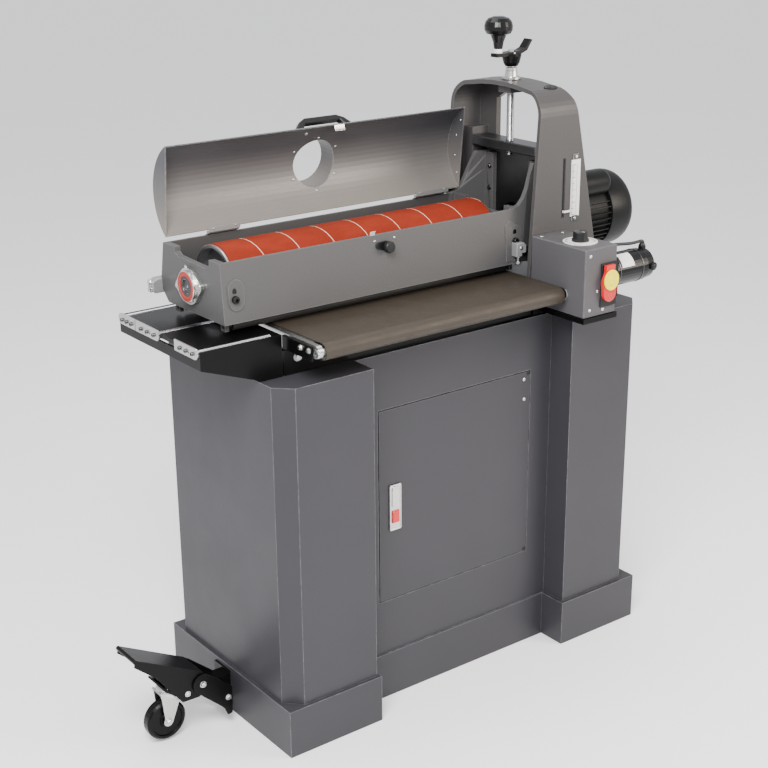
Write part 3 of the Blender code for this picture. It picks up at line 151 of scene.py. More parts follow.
def painted(name, colour, rough, grain, wear, spec=0.25, full=0.90, pale=(1.7, 0.05)):
    """Powder-coated sheet metal: fine orange peel, faint mottling, lighter edges that are partly wear and
    partly a painted highlight.
    """
    mat, tree, shader, coords = blank(name)
    cloudy = ramp(tree, noise(tree, coords, 4.0), 0.3, 0.7)
    darker = tuple(c * 0.94 for c in colour)
    tone = mixed(tree, cloudy, colour, darker)
    fleck = ramp(tree, noise(tree, coords, 1500.0, 2.0), 0.62, 0.74, 0.0, 0.35)
    tone = mixed(tree, fleck, tone, tuple(min(1.0, c * 1.5 + 0.02) for c in colour))
    # lighter edges: partly real wear, partly a painted highlight standing in for light caught on the
    # rounded edges
    worn_and_lit_edge = math_node(tree, "MULTIPLY", edge_mask(tree, coords, 0.0022, 60.0, full), wear)
    tone = mixed(tree, worn_and_lit_edge, tone, tuple(min(1.0, c * pale[0] + pale[1]) for c in colour))
    tree.links.new(tone, shader.inputs["Base Color"])
    smudge = ramp(tree, noise(tree, coords, 9.0, 4.0, 0.65), 0.35, 0.65, rough - 0.02, rough + 0.04)
    tree.links.new(smudge, shader.inputs["Roughness"])
    shader.inputs["Specular IOR Level"].default_value = spec
    bumped(tree, shader, noise(tree, coords, grain, 2.0), 0.00022)
    return mat


def bare_metal(name, colour, rough, streak=(1.0, 1.0, 1.0), grain=700.0, metallic=1.0, depth=0.00008):
    """Uncoated metal with streaks along its finishing direction and a few stains."""
    mat, tree, shader, coords = blank(name)
    along = stretched(tree, coords, streak)
    fine = noise(tree, along, grain, 4.0, 0.65)
    stain = ramp(tree, noise(tree, coords, 14.0, 5.0, 0.6), 0.42, 0.68, 0.0, 0.45)
    tone = mixed(tree, ramp(tree, fine, 0.35, 0.65), colour, tuple(c * 0.82 for c in colour))
    tone = mixed(tree, stain, tone, tuple(c * 0.70 for c in colour))
    # lighter edges: partly wear, partly a painted highlight
    bright = edge_mask(tree, coords, 0.0010, 90.0)
    tone = mixed(tree, bright, tone, tuple(min(1.0, c * 1.35 + 0.03) for c in colour))
    tree.links.new(tone, shader.inputs["Base Color"])
    tree.links.new(ramp(tree, fine, 0.3, 0.7, rough - 0.05, rough + 0.10), shader.inputs["Roughness"])
    shader.inputs["Metallic"].default_value = metallic
    bumped(tree, shader, fine, depth)
    return mat


def plastic(name, colour, rough, coat=0.0, grain=900.0, depth=0.00004, spec=0.5):
    """Moulded plastic: fine texture, and lighter edges that are partly scuffs and partly a painted
    highlight.
    """
    mat, tree, shader, coords = blank(name)
    cloudy = ramp(tree, noise(tree, coords, 30.0), 0.35, 0.7)
    tone = mixed(tree, cloudy, colour, tuple(c * 0.90 for c in colour))
    # lighter edges: partly scuffs, partly a painted highlight
    scuff_and_highlight = edge_mask(tree, coords, 0.0008, 150.0)
    tone = mixed(tree, math_node(tree, "MULTIPLY", scuff_and_highlight, 0.5), tone,
                 tuple(min(1.0, c * 1.4 + 0.05) for c in colour))
    tree.links.new(tone, shader.inputs["Base Color"])
    streaks = noise(tree, stretched(tree, coords, (1.0, 9.0, 3.0)), 80.0, 5.0, 0.7)
    tree.links.new(ramp(tree, streaks, 0.4, 0.75, rough, rough + 0.14), shader.inputs["Roughness"])
    shader.inputs["Coat Weight"].default_value = coat
    shader.inputs["Specular IOR Level"].default_value = spec
    bumped(tree, shader, noise(tree, coords, grain, 2.0), depth)
    return mat


def rubbery(name, colour, rough, cells, depth):
    """Rubber or rubber-backed cloth: cellular grain with pale dust in the hollows."""
    mat, tree, shader, coords = blank(name)
    cell = node(tree, "ShaderNodeTexVoronoi", {"Vector": coords, "Scale": cells}).outputs["Distance"]
    dust = ramp(tree, noise(tree, coords, 11.0, 6.0, 0.7), 0.50, 0.74, 0.0, 0.16)
    tone = mixed(tree, ramp(tree, cell, 0.1, 0.8), colour, tuple(c * 1.5 + 0.004 for c in colour))
    tone = mixed(tree, dust, tone, tuple(c * 1.5 + 0.02 for c in colour))
    tree.links.new(tone, shader.inputs["Base Color"])
    rub = ramp(tree, noise(tree, coords, 25.0, 4.0, 0.6), 0.35, 0.7, rough - 0.08, rough + 0.08)
    tree.links.new(rub, shader.inputs["Roughness"])
    shader.inputs["Specular IOR Level"].default_value = 0.30
    bumped(tree, shader, cell, depth)
    return mat


def abrasive(name):
    """Brick-red grit on cloth, wound as a strip, with a pale seam along each turn."""
    mat, tree, shader, coords = blank(name)
    split = node(tree, "ShaderNodeSeparateXYZ", {0: coords}).outputs
    across = math_node(tree, "SUBTRACT", split[1], STAND_Y)
    height = math_node(tree, "SUBTRACT", split[2], DRUM_Z)
    angle = math_node(tree, "ARCTAN2", height, across)
    along = math_node(tree, "SUBTRACT", split[0], STRIP_START)
    turns = math_node(tree, "SUBTRACT", math_node(tree, "DIVIDE", along, STRIP_PITCH),
                      math_node(tree, "DIVIDE", angle, TAU))
    phase = node(tree, "ShaderNodeMath", {0: turns, 1: 0.5, 2: -0.5}, operation="WRAP")
    seam = ramp(tree, math_node(tree, "ABSOLUTE", phase.outputs[0]), 0.0115, 0.0085)
    grit = node(tree, "ShaderNodeTexVoronoi", {"Vector": coords, "Scale": 1400.0}).outputs
    tone = mixed(tree, ramp(tree, grit["Distance"], 0.1, 0.7),
                 (0.225, 0.022, 0.0075), (0.135, 0.012, 0.004))
    rubs = noise(tree, stretched(tree, coords, (0.4, 1.0, 1.0)), 26.0, 4.0)
    worn = ramp(tree, rubs, 0.45, 0.72, 0.0, 0.4)
    tone = mixed(tree, worn, tone, (0.25, 0.030, 0.011))
    tone = mixed(tree, math_node(tree, "MULTIPLY", seam, 0.8), tone, (0.70, 0.50, 0.38))
    tree.links.new(tone, shader.inputs["Base Color"])
    shader.inputs["Roughness"].default_value = 0.78
    shader.inputs["Specular IOR Level"].default_value = 0.12
    bumped(tree, shader, grit["Distance"], 0.00025)
    return mat


def cover_metal(name):
    """Satin sheet metal with a painted warm highlight low down and painted shade higher up, towards its
    free edge.
    """
    mat, tree, shader, coords = blank(name)
    height = node(tree, "ShaderNodeSeparateXYZ", {0: coords}).outputs[2]
    # painted light: a warm highlight low on the cover, fading to painted shade towards the top
    tone = mixed(tree, ramp(tree, height, 0.990, 1.120), (0.190, 0.170, 0.148), (0.050, 0.050, 0.055))
    fine = noise(tree, stretched(tree, coords, (0.15, 1.0, 1.0)), 500.0, 3.0, 0.6)
    tone = mixed(tree, ramp(tree, fine, 0.3, 0.7, 0.0, 0.12), tone, (0.07, 0.07, 0.07))
    cloudy = ramp(tree, noise(tree, coords, 7.0, 4.0), 0.35, 0.70, 0.0, 0.25)
    tone = mixed(tree, cloudy, tone, (0.09, 0.09, 0.095))
    # lighter edges: partly wear, partly a painted highlight
    tone = mixed(tree, edge_mask(tree, coords, 0.0010, 90.0), tone, (0.40, 0.39, 0.38))
    tree.links.new(tone, shader.inputs["Base Color"])
    tree.links.new(ramp(tree, fine, 0.3, 0.7, 0.36, 0.46), shader.inputs["Roughness"])
    shader.inputs["Metallic"].default_value = 0.12
    bumped(tree, shader, fine, 0.00002)
    return mat


# ---- materials
MATS = {
    # stand: full and pale give a strong pale line along the edges, a painted highlight on the rounded edges
    "stand": painted("stand_grey", (0.035, 0.034, 0.039), 0.40, 260.0, 0.9,
                     full=0.95, pale=(2.4, 0.12)),
    "door": painted("door_grey", (0.035, 0.034, 0.039), 0.40, 260.0, 0.9),
    # box_grey: the stand's paint made about twice as light, painted light so the box's faces look as lit as
    # the stand's
    "box": painted("box_grey", (0.070, 0.067, 0.071), 0.40, 260.0, 0.8),
    "arch": painted("arch_grey", (0.052, 0.049, 0.048), 0.38, 220.0, 0.8),
    "black": painted("black_enamel", (0.0018, 0.0018, 0.0020), 0.30, 320.0, 0.15, spec=0.14),
    "casting": painted("casting_grey", (0.068, 0.066, 0.065), 0.38, 200.0, 0.8),
    "cover": cover_metal("cover_metal"),
    "drum": bare_metal("turned_metal", (0.58, 0.58, 0.59), 0.34, grain=500.0),
    "zinc": bare_metal("zinc_plate", (0.62, 0.62, 0.60), 0.28, grain=420.0),
    "pale": bare_metal("hinge_plate", (0.32, 0.32, 0.315), 0.36, grain=500.0, metallic=0.40),
    "steel": bare_metal("ground_steel", (0.60, 0.61, 0.62), 0.24, (1.0, 6.0, 6.0), 300.0),
    "dark_steel": bare_metal("oiled_steel", (0.10, 0.10, 0.105), 0.36, grain=500.0),
    "motor": painted("motor_grey", (0.0040, 0.0045, 0.0045), 0.36, 300.0, 0.15, spec=0.16),
    "gloss": plastic("gloss_black", (0.0030, 0.0030, 0.0032), 0.20, 0.05, spec=0.26),
    "satin": plastic("satin_black", (0.008, 0.008, 0.0085), 0.36, spec=0.30),
    "white": plastic("white_plastic", (0.72, 0.71, 0.68), 0.34),
    "red": plastic("red_plastic", (0.55, 0.010, 0.008), 0.28, 0.15),
    "yellow": plastic("yellow_plastic", (0.82, 0.70, 0.001), 0.32, spec=0.3),
    "belt": rubbery("belt_cloth", (0.023, 0.0175, 0.0120), 0.54, 620.0, 0.00018),
    "rubber": rubbery("black_rubber", (0.013, 0.013, 0.013), 0.60, 900.0, 0.00008),
    "grit": abrasive("abrasive_strip"),
    "seal": plastic("red_seal", (0.36, 0.020, 0.010), 0.45),
}
SLOT_LOOK = {"stand_paint": "stand", "black_paint": "black", "cast_aluminium": "casting",
             "drum_metal": "drum", "zinc": "zinc", "steel": "steel", "belt": "belt",
             "abrasive": "grit", "black_plastic": "satin", "motor_grey": "motor",
             "white_plastic": "white", "red_plastic": "red", "yellow_plastic": "yellow",
             "rubber": "rubber"}
LOOK_SLOT = {look: slot for slot, look in SLOT_LOOK.items()}
LOOK_SLOT.update({"cover": "cast_aluminium", "dark_steel": "steel", "gloss": "black_plastic",
                  "seal": "rubber", "pale": "zinc", "box": "stand_paint",
                  "arch": "stand_paint"})
NODE_LOOK = {"cabinet_door": "door", "cover_shell": "cover", "dust_port": "cover",
             "crank_knob": "gloss", "gear_motor": "gloss", "carriage": "dark_steel",
             # pressure rollers: dark rubber finish, which also stands in for the shade under the trough
             "pressure_roller_front": "rubber", "pressure_roller_rear": "rubber",
             "lift_bracket": "black", "lift_pedal": "black", "caster_wheel": "black",
             "control_box": "box", "arch_frame": "arch"}


# ---- mesh helpers
def to_space(axis, u, v, w):
    """Map profile coordinates u, v and distance w along an axis to x, y, z."""
    return {"X": (w, u, v), "Y": (u, w, v), "Z": (u, v, w)}[axis]


def new_piece(name, bm, look, body, bevel=0.0, angle=35.0):
    """Turn a bmesh drawn from the centre of the stand into a smoothed piece that rides on a body."""
    bmesh.ops.recalc_face_normals(bm, faces=bm.faces)
    mesh = bpy.data.meshes.new(name)
    bm.to_mesh(mesh)
    bm.free()
    mesh.transform(Matrix.Translation(at(0.0, 0.0, 0.0)))
    mesh.materials.append(MATS[look])
    piece = bpy.data.objects.new(name, mesh)
    bpy.context.collection.objects.link(piece)
    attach(piece, body)
    smooth(piece, bevel, angle)
    return piece


def smooth(piece, bevel=0.0, angle=35.0):
    """Soften a piece's edges with a bevel, and shade its round parts smooth."""
    for face in piece.data.polygons:
        face.use_smooth = True
    if bevel:
        made = piece.modifiers.new("edges", "BEVEL")
        made.width = bevel
        made.segments = 2
        made.limit_method = "ANGLE"
        made.angle_limit = math.radians(angle)
        piece.modifiers.new("even_shading", "WEIGHTED_NORMAL").keep_sharp = True
    else:
        piece.data.set_sharp_from_angle(angle=math.radians(angle))


def arc(centre, radius, start, end, steps):
    """Points along an arc, angles in degrees."""
    turns = [math.radians(start + (end - start) * k / steps) for k in range(steps + 1)]
    return [(centre[0] + radius * math.cos(t), centre[1] + radius * math.sin(t)) for t in turns]


def stitch(bm, one, two, closed=True):
    """Join two rows of vertices with four-sided faces."""
    for k in range(len(one) if closed else len(one) - 1):
        after = (k + 1) % len(one)
        bm.faces.new([one[k], one[after], two[after], two[k]])


def add_prism(bm, axis, outline, span):
    """Add a closed outline extruded along an axis."""
    rings = [[bm.verts.new(to_space(axis, u, v, w)) for u, v in outline] for w in span]
    stitch(bm, rings[0], rings[1])
    bm.faces.new(rings[0])
    bm.faces.new(rings[1])


def rectangle(u, v):
    """Four corners of a rectangle."""
    return [(u[0], v[0]), (u[1], v[0]), (u[1], v[1]), (u[0], v[1])]


def add_block(bm, x, y, z):
    """Add a box."""
    add_prism(bm, "Z", rectangle(x, y), z)


def add_bar(bm, matrix, corners, foot, top, closed=True):
    """Add a small bar along a matrix's Z axis; its foot is left open where it is sunk in."""
    base, cap = [[bm.verts.new(matrix @ Vector((u, v, w))) for u, v in corners] for w in (foot, top)]
    bm.faces.new(cap)
    if closed:
        bm.faces.new(base)
    stitch(bm, base, cap)


def collar(inner, outer, foot, top, chamfer=None):
    """Profile of a ring, or of a disc when inner is 0; the chamfer is (across, down)."""
    edge = [(outer, top)]
    if chamfer:
        edge = [(outer, top - chamfer[1]), (outer - chamfer[0], top)]
    return [(inner, foot), (outer, foot)] + edge + [(inner, top)]


def outward(turn):
    """Unit vectors outward and sideways at an angle."""
    out = Vector((math.cos(turn), math.sin(turn)))
    return out, Vector((-out.y, out.x))


def blade(centre, turn, inner, outer):
    """Outline of a bar pointing outward from a centre, each end given as (radius, half width)."""
    out, side = outward(turn)
    near, far = ([out * radius + side * w for w in (half, -half)] for radius, half in (inner, outer))
    return [(centre[0] + p.x, centre[1] + p.y) for p in near + far[::-1]]


def add_turned(bm, matrix, profile, facets=24):
    """Add a solid turned about the local Z axis, its profile in (radius, height) points.

    No two neighbouring points lie on the axis. A profile with both ends off it is closed to a ring.
    """
    rings = []
    for radius, height in profile:
        if radius < 1e-7:
            rings.append([bm.verts.new(matrix @ Vector((0.0, 0.0, height)))])
            continue
        turns = [TAU * k / facets for k in range(facets)]
        ring = [Vector((radius * math.cos(turn), radius * math.sin(turn), height)) for turn in turns]
        rings.append([bm.verts.new(matrix @ place) for place in ring])
    pairs = list(zip(rings, rings[1:]))
    if len(rings[0]) > 1 and len(rings[-1]) > 1:
        pairs.append((rings[-1], rings[0]))
    for one, two in pairs:
        if len(one) == len(two):
            stitch(bm, one, two)
            continue
        for k in range(facets):
            after = (k + 1) % facets
            if len(one) == 1:
                bm.faces.new([one[0], two[after], two[k]])
            else:
                bm.faces.new([one[k], one[after], two[0]])


def add_skin(bm, axis, centre, stations, facets, radius):
    """Add rings round an axis, joined in a row; radius(station, turn) gives each point's distance."""
    rings = []
    for station in stations:
        ring = []
        for turn in (TAU * k / facets for k in range(facets)):
            out = radius(station, turn)
            u, v = centre[0] + out * math.cos(turn), centre[1] + out * math.sin(turn)
            ring.append(bm.verts.new(to_space(axis, u, v, station)))
        rings.append(ring)
    for one, two in zip(rings, rings[1:]):
        stitch(bm, one, two)
    return rings


def facing(place, direction, turn=0.0):
    """A matrix at a place whose Z axis points along a direction."""
    quaternion = Vector(direction).to_track_quat("Z", "Y")
    spin = Matrix.Rotation(turn, 4, "Z")
    return Matrix.Translation(Vector(place)) @ quaternion.to_matrix().to_4x4() @ spin


def add_screw(bm, place, direction, size, kind="pan", turn=0.4):
    """Add a fastener: pan or socket head with a recess, hexagon head on a washer, or a rivet."""
    matrix = facing(place, direction, turn)
    if kind == "hex":
        washer = collar(0.0, size * 1.35, -SINK, size * 0.26, (size * 0.07, size * 0.06))
        add_turned(bm, matrix, washer, 28)
        head = collar(0.0, size, size * 0.20, size * 0.95, (size * 0.08, size * 0.08))
        add_turned(bm, matrix, head, 6)
        return
    if kind == "rivet":
        dome = [(size * math.cos(t), size * 0.55 * math.sin(t)) for t in (0.0, 0.45, 0.9, 1.3)]
        add_turned(bm, matrix, [(0.0, -SINK), (size, -SINK)] + dome + [(0.0, size * 0.55)], 20)
        return
    if kind == "socket":
        top, inner, deep = size * 0.95, size * 0.50, size * 0.45
        profile = [(0.0, -SINK), (size, -SINK), (size, top * 0.86), (size * 0.90, top),
                   (inner, top), (inner, top - deep), (0.0, top - deep)]
        add_turned(bm, matrix, profile, 24)
        return
    dome = [(size * math.cos(t), size * 0.50 * math.sin(t)) for t in (0.0, 0.4, 0.8, 1.1)]
    crown = dome[-1][1]
    recess = [(size * 0.30, crown + size * 0.03), (size * 0.22, crown - size * 0.22),
              (0.0, crown - size * 0.26)]
    add_turned(bm, matrix, [(0.0, -SINK), (size, -SINK)] + dome + recess, 24)
    bar, wide = size * 0.085, size * 0.52
    for quarter in (0.0, math.pi / 2.0):
        cross = matrix @ Matrix.Rotation(quarter, 4, "Z")
        add_bar(bm, cross, rectangle((-wide, wide), (-bar, bar)), crown * 0.55, crown + size * 0.035, False)


def fasteners(name, body, places, direction, size, kind="pan", look="zinc"):
    """One piece holding like fasteners on one surface, each turned a little further."""
    bm = bmesh.new()
    for count, place in enumerate(places):
        add_screw(bm, place, direction, size, kind, 0.4 + 0.7 * count)
    new_piece(name, bm, look, body, angle=38.0)


def turned_piece(name, body, look, place, direction, profile, facets=32, angle=30.0, squash=(1.0, 1.0)):
    """A piece turned about one axis, and squashed across it where it is oval."""
    bm = bmesh.new()
    add_turned(bm, facing(place, direction) @ Matrix.Diagonal((*squash, 1.0, 1.0)), profile, facets)
    return new_piece(name, bm, look, body, angle=angle)


def plate_piece(name, body, look, axis, outline, span, bevel=0.0006):
    """A flat plate with softened edges."""
    bm = bmesh.new()
    add_prism(bm, axis, outline, span)
    new_piece(name, bm, look, body, bevel)


# ---- CAD nodes
FLATTENED = {"head_trough": 6.0}         # degrees between faces that are merged; 0.5 elsewhere
EDGE = {"left_column": 0.0025, "right_column": 0.0025, "left_plinth": 0.0025, "right_plinth": 0.0025,
        "control_box": 0.0020, "arch_frame": 0.0020, "head_trough": 0.0016, "base_frame": 0.0016,
        "cover_shell": 0.0007}           # width of the softened edges; 0.0010 elsewhere


def dress_nodes():
    """Give every carried-over node its material and softened edges."""
    slots = {row["node"]: row["material_slot"] for row in frame["record"]["subparts"]}
    for name, piece in frame["nodes"].items():
        look = NODE_LOOK.get(name, SLOT_LOOK[slots[name]])
        piece.data.materials.clear()
        piece.data.materials.append(MATS[look])
        merge = piece.modifiers.new("flat_faces", "DECIMATE")
        merge.decimate_type = "DISSOLVE"
        merge.angle_limit = math.radians(FLATTENED.get(name, 0.5))
        smooth(piece, EDGE.get(name, 0.0010))


def low(node_name, axis):
    """Lowest coordinate of a node, from the centre of the stand."""
    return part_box(node_name)[0][axis] - (STAND_X, STAND_Y, 0.0)[axis]


def high(node_name, axis):
    """Highest coordinate of a node, from the centre of the stand."""
    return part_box(node_name)[1][axis] - (STAND_X, STAND_Y, 0.0)[axis]


# ---- cabinet
def door_fittings():
    """Two door screws, the hinge corners and the face of the flush latch."""
    front = low("cabinet_door", 1)
    fasteners("door_screws", "door", [(0.1803, front, 0.620), (0.1817, front, 0.576)], FRONT, 0.0042)
    for end, z in (("top", (0.6285, 0.6350)), ("bottom", (0.2230, 0.2300))):
        plate_piece("door_corner_" + end, "door", "satin", "Z",
                    rectangle((0.1880, 0.1962), (front - 0.0010, front + 0.0080)), z, 0.0004)
    face = low("door_latch", 1)
    rim = bmesh.new()
    x, z, wide = (-0.1763, -0.1477), (0.3757, 0.4743), 0.0022
    for side in (rectangle((x[0], x[0] + wide), z), rectangle((x[1] - wide, x[1]), z),
                 rectangle(x, (z[0], z[0] + wide)), rectangle(x, (z[1] - wide, z[1]))):
        add_prism(rim, "Y", side, (face - 0.0012, face + 0.0005))
    new_piece("latch_rim", rim, "zinc", "door", 0.0003)
    plate_piece("latch_grip", "door", "zinc", "Y",
                arc((-0.162, 0.4620), 0.0085, 0, 180, 12) + [(-0.1705, 0.4270), (-0.1535, 0.4270)],
                (face - 0.0022, face + 0.0004), 0.0008)


def rear_fittings():
    """Screws that hold the back sheet and tie the columns to the plinths."""
    back = high("rear_panel", 1)
    places = [(x, back, z) for x in (-0.235, 0.0, 0.235) for z in (0.150, 0.430, 0.715)]
    fasteners("rear_panel_screws", "stand", places, BACK, 0.0042)
    for side, x in (("left", -0.3590), ("right", 0.3590)):
        plinth_back = high(side + "_plinth", 1)
        places = [(x + dx, plinth_back, 0.050) for dx in (-0.075, 0.075)]
        fasteners(side + "_plinth_bolts", "stand", places, BACK, 0.0055, "hex", "black")


# ---- outboard table and conveyor
def table_fittings():
    """Dark socket screws in the roller end plates."""
    for name in ("rear", "middle", "front"):
        node_name = "roller_bracket_" + name
        face = low(node_name, 0)
        y0, y1 = low(node_name, 1), high(node_name, 1)
        z = 0.5 * (low(node_name, 2) + high(node_name, 2)) - 0.0015
        places = [(face, y0 + (y1 - y0) * share, z) for share in (0.22, 0.50, 0.76)]
        fasteners(node_name + "_screws", "stand", places, LEFT, 0.0036, "socket", "dark_steel")


def belt_tension(end, side):
    """Take-up plate and its bolts, the shaft ring and the base bolt at one corner of the conveyor."""
    outer = low("left_rail", 0)
    y = sorted((side * 0.2370, side * 0.1400))
    plate_piece("take_up_plate_" + end, "stand", "black", "X", rectangle(y, (0.8035, 0.8295)),
                (outer - 0.0032, outer - 0.0001))
    places = [(outer - 0.0032, side * d, 0.8215) for d in (0.2270, 0.2010)]
    fasteners("take_up_bolts_" + end, "stand", places, LEFT, 0.0044, "hex")
    shaft = (outer, side * 0.2500, 0.8200)
    turned_piece("shaft_ring_" + end, "stand", "zinc", shaft, LEFT,
                 collar(0.0042, 0.0082, -0.0004, 0.0034, (0.0008, 0.0008)))
    turned_piece("shaft_stud_" + end, "stand", "dark_steel", shaft, LEFT,
                 [(0.0, -0.0004), (0.0040, -0.0004), (0.0040, 0.0018), (0.0, 0.0022)], 20)
    fasteners("base_bolt_" + end, "stand", [(-0.3790, side * 0.1500, 0.7850)], (0, side, 0), 0.0066, "hex")


def rail_fittings():
    """Foot bolts along the right-hand rail and the nut on the drive shaft."""
    inner = high("right_rail", 0)
    places = [(inner, y, 0.8080) for y in (-0.130, 0.0, 0.130)]
    fasteners("right_rail_bolts", "stand", places, RIGHT, 0.0040, "hex")
    turned_piece("drive_shaft_nut", "stand", "pale", (0.2004, -0.242, 0.820), RIGHT,
                 [(0.0066, 0.0), (0.0120, 0.0), (0.0120, 0.0046), (0.0066, 0.0050)], 6)


# ---- gear motor and controls
def gear_motor_fittings():
    """Blank label, case bolts, seams, through bolts and glands of the conveyor motor."""
    bm = bmesh.new()
    rings = []
    for r in (GEAR_R - 0.0010, GEAR_R + 0.0004):
        for x in (0.3370, 0.3720):
            turns = [math.radians(18 + 56 * k / 12) for k in range(13)]
            rings.append([bm.verts.new((x, GEAR_Y - r * math.cos(t), GEAR_Z + r * math.sin(t)))
                          for t in turns])
    for one, two in ((0, 1), (2, 3), (0, 2), (1, 3)):
        stitch(bm, rings[one], rings[two], closed=False)
    for k in (0, -1):
        bm.faces.new([rings[0][k], rings[1][k], rings[3][k], rings[2][k]])
    new_piece("gear_motor_label", bm, "white", "stand")
    case = low("gear_motor", 0) + 0.026
    places = [(case, GEAR_Y + dy, z) for z in (0.8100, 0.8780) for dy in (-0.0310, 0.0310)]
    fasteners("gear_case_bolts", "stand", places, RIGHT, 0.0032, "socket", "dark_steel")
    for count, x in enumerate((0.3300, 0.3960)):
        turned_piece("gear_motor_seam_%d" % count, "stand", "dark_steel", (x, GEAR_Y, GEAR_Z), RIGHT,
                     collar(GEAR_R - 0.0020, GEAR_R + 0.0007, 0.0, 0.0022), 48)
    places = [(0.4400, GEAR_Y + 0.016 * math.cos(t), GEAR_Z + 0.016 * math.sin(t)) for t in (0.6, 3.74)]
    fasteners("gear_motor_through_bolts", "stand", places, RIGHT, 0.0032)
    for count, side in enumerate((-1.0, 1.0)):
        places = [(0.4260, GEAR_Y + side * (GEAR_R + 0.0020), GEAR_Z)]
        fasteners("brush_cap_slot_%d" % count, "stand", places, (0, side, 0), 0.0060, "pan", "satin")
    turned_piece("lead_gland_box", "stand", "satin", (0.2942, -0.232, 0.8960), RIGHT,
                 [(0.0038, 0.0), (0.0085, 0.0), (0.0085, 0.0035), (0.0068, 0.0045), (0.0060, 0.0080),
                  (0.0038, 0.0080)], 24)
    turned_piece("lead_gland_motor", "stand", "satin", (0.4250, GEAR_Y, 0.8849), UP,
                 collar(0.0038, 0.0070, -0.0010, 0.0060, (0.0020, 0.0040)), 24)


def control_fittings():
    """Box screws, dial divisions, knob grip and pointer, and the grips of the paddle and key."""
    front, lid = low("control_box", 1), high("control_box", 2)
    spots = ((0.2204, 0.9057), (0.2225, 0.7946), (0.2591, 0.7910), (0.2427, 0.8315))
    fasteners("control_box_screws", "stand", [(x, front, z) for x, z in spots], FRONT, 0.0038)
    places = [(0.2189, -0.1572, lid), (0.2765, -0.1574, lid)]
    fasteners("control_box_top_screws", "stand", places, UP, 0.0032)
    centre = (0.2500, -0.2370)
    bm = bmesh.new()
    top = high("speed_dial", 2)
    for count in range(41):
        inner = (0.0245, 0.00045) if count % 4 == 0 else (0.0275, 0.00028)
        mark = blade(centre, math.radians(-50.0 + 7.0 * count), inner, (0.0315, inner[1]))
        add_prism(bm, "Z", mark, (top - 0.0002, top + 0.00025))
    new_piece("dial_divisions", bm, "satin", "stand")
    bm = bmesh.new()
    base = low("speed_knob", 2) + 0.012
    for count in range(22):
        spot = Vector(centre) + outward(TAU * count / 22)[0] * 0.0134
        add_turned(bm, facing((*spot, base + 0.0042), UP),
                   [(0.0, 0.0), (0.0011, 0.0), (0.0011, 0.0125), (0.0, 0.0131)], 8)
    new_piece("speed_knob_grip", bm, "satin", "speed", angle=50.0)
    cap = high("speed_knob", 2)
    pointer = rectangle((centre[0] - 0.0006, centre[0] + 0.0006), (centre[1] - 0.0110, centre[1] - 0.0035))
    plate_piece("speed_knob_pointer", "speed", "white", "Z", pointer, (cap - 0.0004, cap + 0.0002), 0.0001)
    face = low("switch_paddle", 1)
    bm = bmesh.new()
    for z in (0.8120, 0.8160, 0.8200, 0.8240):
        add_block(bm, (0.2575, 0.2725), (face - 0.0007, face + 0.0005), (z, z + 0.0016))
    new_piece("paddle_grip_ribs", bm, "red", "paddle", 0.0004)
    profile = [(0.0, -0.0133), (0.0042, -0.0133), (0.0042, -0.0055), (0.0203, -0.0055), (0.0210, -0.0046),
               (0.0210, -0.0022), (0.0202, -0.0013), (0.0172, -0.0010), (0.0160, -0.0017),
               (0.0122, -0.0017), (0.0105, 0.0), (0.0, 0.0)]
    grip = turned_piece("key_grip", "key", "yellow", (0.2650, low("safety_key", 1), 0.8540), FRONT,
                        profile, 48, 35.0, (0.93, 1.0))
    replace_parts(grip, "safety_key")


# ---- arch, screw and crank
def arch_fittings():
    """Plug on the crown, scale divisions, clips and screws, dark strips of painted shade along the slot,
    foot bolts.
    """
    turned_piece("crown_plug", "stand", "satin", (0.2860, -0.1000, 1.2075), (0.0, -0.29, 0.957),
                 [(0.0, -0.0040), (0.0125, -0.0040), (0.0125, 0.0016), (0.0110, 0.0028), (0.0, 0.0032)],
                 32, 40.0, (1.35, 0.75))
    face = low("height_scale", 1)
    left, foot = low("height_scale", 0), low("height_scale", 2)
    bottom, top = foot + 0.0125, high("height_scale", 2)
    print_depth = (face - 0.0002, face + 0.0002)
    bm = bmesh.new()
    for count in range(41):
        z = bottom + 0.0026 * count
        length = 0.0105 if count % 10 == 0 else 0.0080 if count % 5 == 0 else 0.0050
        tall = 0.00050 if count % 5 == 0 else 0.00032
        add_block(bm, (left + 0.0010, left + 0.0010 + length), print_depth, (z - tall, z + tall))
    add_block(bm, (left + 0.0150, left + 0.0154), print_depth, (bottom, bottom + 0.104))
    new_piece("scale_divisions", bm, "satin", "stand")
    middle = 0.5 * (left + high("height_scale", 0))
    places = [(middle, face - 0.0006, z) for z in (foot + 0.0045, top - 0.0050)]
    fasteners("scale_screws", "stand", places, FRONT, 0.0036)
    for name, z in (("low", foot), ("high", top - 0.0105)):
        plate_piece("scale_clip_" + name, "stand", "dark_steel", "Y",
                    rectangle((middle - 0.0078, middle + 0.0078), (z, z + 0.0105)),
                    (face - 0.0006, face + 0.0002), 0.0002)
    # two black strips along the slot's sides: painted shade, so the slot reads darker and wider
    bm = bmesh.new()
    for x in (0.2883, 0.2943):
        add_block(bm, (x, x + 0.0014), (-0.1414, -0.1408), (0.9440, 1.0695))
    new_piece("slot_shade_strips", bm, "satin", "stand")
    for end, y in (("front", -0.1190), ("rear", 0.1190)):
        places = [(x, y, 0.8100) for x in (0.2300, 0.3740)]
        fasteners("arch_foot_bolts_" + end, "stand", places, UP, 0.0070, "hex")


